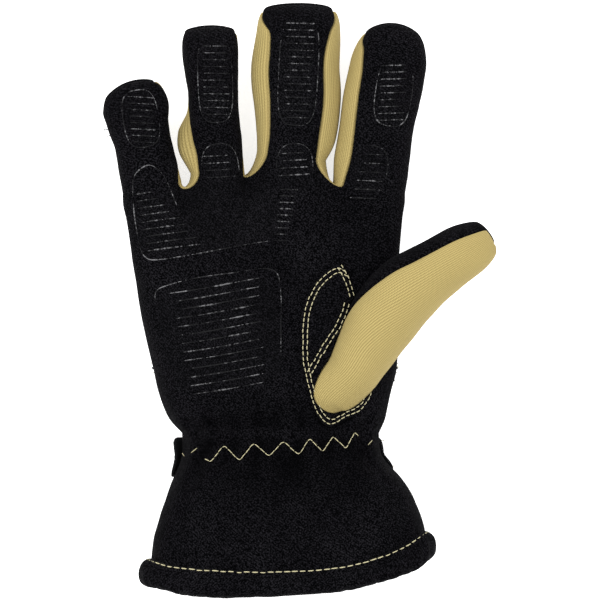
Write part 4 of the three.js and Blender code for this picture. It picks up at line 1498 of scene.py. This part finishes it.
# The elastic's zigzag across the wrist, one running thread, with a few tacks beside it
zigzag = table("""
    x      y
    -33    -73.5
    -30    -75
    -23.2  -66.3
    -14.9  -74.6
    -8.1   -65.2
    0.2    -72.5
    7.5    -64.2
    15.8   -71.5
    21.5   -62.6
    27.8   -69.9
    33.5   -61.6
    40.2   -68.3
    44.4   -59.5
    46.5   -61.6
""")
plan = np.array([[row["x"], row["y"]] for row in zigzag])
knots = np.arange(len(plan))
t = np.linspace(0, knots[-1], 15 * knots[-1])
plan = softened(np.stack([np.interp(t, knots, plan[:, k]) for k in range(2)], -1), 2)
points, normals = settle("palmPanel", plan, sewing["radius"] * 0.7)
stitchRow("wristZigzag", softened(points, 2), normals, **wristSewing)
tacks = table("""
    x      y      x1     y1
    51.2   -66.8  54.3   -63.1
    -40.4  -70.4  -37.2  -67.8
    -45    -70.4  -43.7  -72.5
""")
for number, tack in enumerate(tacks):
    plan = np.linspace((tack["x"], tack["y"]), (tack["x1"], tack["y1"]), 8)
    stitchOn("palmPanel", f"tack{number}", plan, **tackSewing)

hemRow, hemLift = (hem["reach"] - 0.9) / cuff["length"] - 1, 2.35
for side, name in ((1, "hemStitchesFront"), (-1, "hemStitchesBack")):
    path, normals = bodyPath(side, hemRow, hemLift)
    stitchRow(name, alongHem(path, np.array(hem["rowUp"])), normals, **hemSewing)

# The side seams of the hand and cuff: their turned-in edges make a bead that closes the gap
bead = {"first": -0.98, "last": 0.99, "steps": 160, "sunk": 0.6, "width": 0.55, "height": 0.7}
seamPlaces = np.linspace(bead["first"], bead["last"], bead["steps"])
edges = sum(bodyPoint(seamPlaces, side, wall * bead["sunk"]) for side in (1, -1)) / 2
for name, column, heading in (("seamLeft", 0, -1), ("seamRight", -1, 1)):
    path = edges[:, column]
    normals = np.array([heading, 0, 0.0]) + 0 * path
    sweep(name, path[None], normals[None], bead["width"], bead["height"], blackKnit, sides=8)

# The back's seam: a rolled lip and two rows of stitches
backSeam = {"lipLift": 0.5, "lipWidth": 0.9, "lipHeight": 0.7, "rowsApart": 2.4, "lift": 0.1}
path, normals = bodyPath(-1, hand["backSplit"], backSeam["lipLift"])
sweep("backLip", path[None], normals[None], backSeam["lipWidth"], backSeam["lipHeight"], blackKnit, sides=8)
for row in (-1, 1):
    place = hand["backSplit"] + row * backSeam["rowsApart"] / hand["length"]
    path, normals = bodyPath(-1, place, backSeam["lift"], 0.005, 0.995)
    stitchRow(f"backStitches{row + 1}", path, normals, **backSewing)
for row in (0.12, 0.88):
    place = -(strap["place"] + strap["width"] * row) / cuff["length"]
    path, normals = bodyPath(-1, place, gap + strap["thickness"] + backSeam["lift"], 0.13, 0.99)
    stitchRow(f"strapStitches{int(row * 100)}", path, normals, **backSewing)

# Loose ends of thread, each a short helix that drops out of a seam
looseEnds = table("""
    x      y     z   heading  length  turns  radius  black
    -82.8  98.5  16  205      3.6     1.2    0.8     1
    -81.8  96.2  14  235      3.2     0.8    0.7     1
    82.6   -124  34  300      1.6     0.6    0.3     0
    64.8   -25   24  -20      3       1.6    1.0     0
    64.5   -31   22  -50      3.2     1.2    0.8     1
""")
endRadius = 0.2
vertical = np.array([0, 0, 1.0])
for number, end in enumerate(looseEnds):
    t = np.linspace(0, 1, 26)
    a, turn = math.radians(end["heading"]), 2 * np.pi * end["turns"] * t[:, None]
    plan = np.stack([math.cos(a) * end["length"] * t, math.sin(a) * end["length"] * t, 0 * t], -1)
    aside = np.array([-math.sin(a), math.cos(a), 0])
    coil = end["radius"] * t[:, None] * (np.sin(turn) * aside + np.cos(turn) * vertical)
    path = np.array([end["x"], end["y"], end["z"]]) + plan + coil
    path[:, 2] = np.maximum(path[:, 2], 0.4)
    material = blackKnit if end["black"] else sewingThread
    sweep(f"looseEnd{number}", path[None], vertical + 0 * path[None], endRadius, endRadius, material)


# Camera and light
view = {"centreX": 16.33, "centreY": 9.15, "width": 312.0, "height": 1.2}
camera = bpy.data.objects.new("camera", bpy.data.cameras.new("camera"))
camera.data.type = "ORTHO"
camera.data.ortho_scale = view["width"] * mm
camera.location = (view["centreX"] * mm, view["centreY"] * mm, view["height"])
bpy.context.collection.objects.link(camera)
bpy.context.scene.camera = camera

lamps = table("""
    x     y     z    size  power
    -0.6  0.5   0.9  0.7   9
    0.7   0.3   1.0  0.8   6
    0.1   -0.9  0.8  0.8   5
""")
for number, lamp in enumerate(lamps):
    light = bpy.data.lights.new(f"softbox{number}", "AREA")
    light.energy, light.size = lamp["power"], lamp["size"]
    holder = bpy.data.objects.new(light.name, light)
    holder.location = (lamp["x"], lamp["y"], lamp["z"])
    aim = -np.array(holder.location)
    tilt, turn = math.acos(aim[2] / np.linalg.norm(aim)), math.atan2(aim[1], aim[0])
    holder.rotation_euler = (tilt + math.pi, 0, turn + math.pi / 2)
    bpy.context.collection.objects.link(holder)

world = bpy.data.worlds.new("studio")
world.use_nodes = True
world.node_tree.nodes["Background"].inputs[0].default_value = (1, 1, 1, 1)
world.node_tree.nodes["Background"].inputs[1].default_value = 0.95
bpy.context.scene.world = world
bpy.context.scene.view_settings.view_transform = "Standard"

floorMaterial, floorTree, floorShader = newMaterial("paleFloor", 0.9, 0.1)
floorNoise = addNode(floorTree, "ShaderNodeTexNoise", {"Scale": 6.0}).outputs["Fac"]
floorColour = blendColour(floorTree, floorNoise, (0.9, 0.9, 0.9, 1), (0.94, 0.94, 0.94, 1))
floorTree.links.new(floorColour, floorShader.inputs["Base Color"])
floorShader.inputs["Emission Color"].default_value = (1, 1, 1, 1)
floorShader.inputs["Emission Strength"].default_value = 0.7
floorMesh = bpy.data.meshes.new("floor")
reach, low = 3.0, -0.0003
corners = [(-reach, -reach, low), (reach, -reach, low), (reach, reach, low), (-reach, reach, low)]
floorMesh.from_pydata(corners, [], [(0, 1, 2, 3)])
floorMesh.materials.append(floorMaterial)
floor = bpy.data.objects.new("floor", floorMesh)
bpy.context.collection.objects.link(floor)
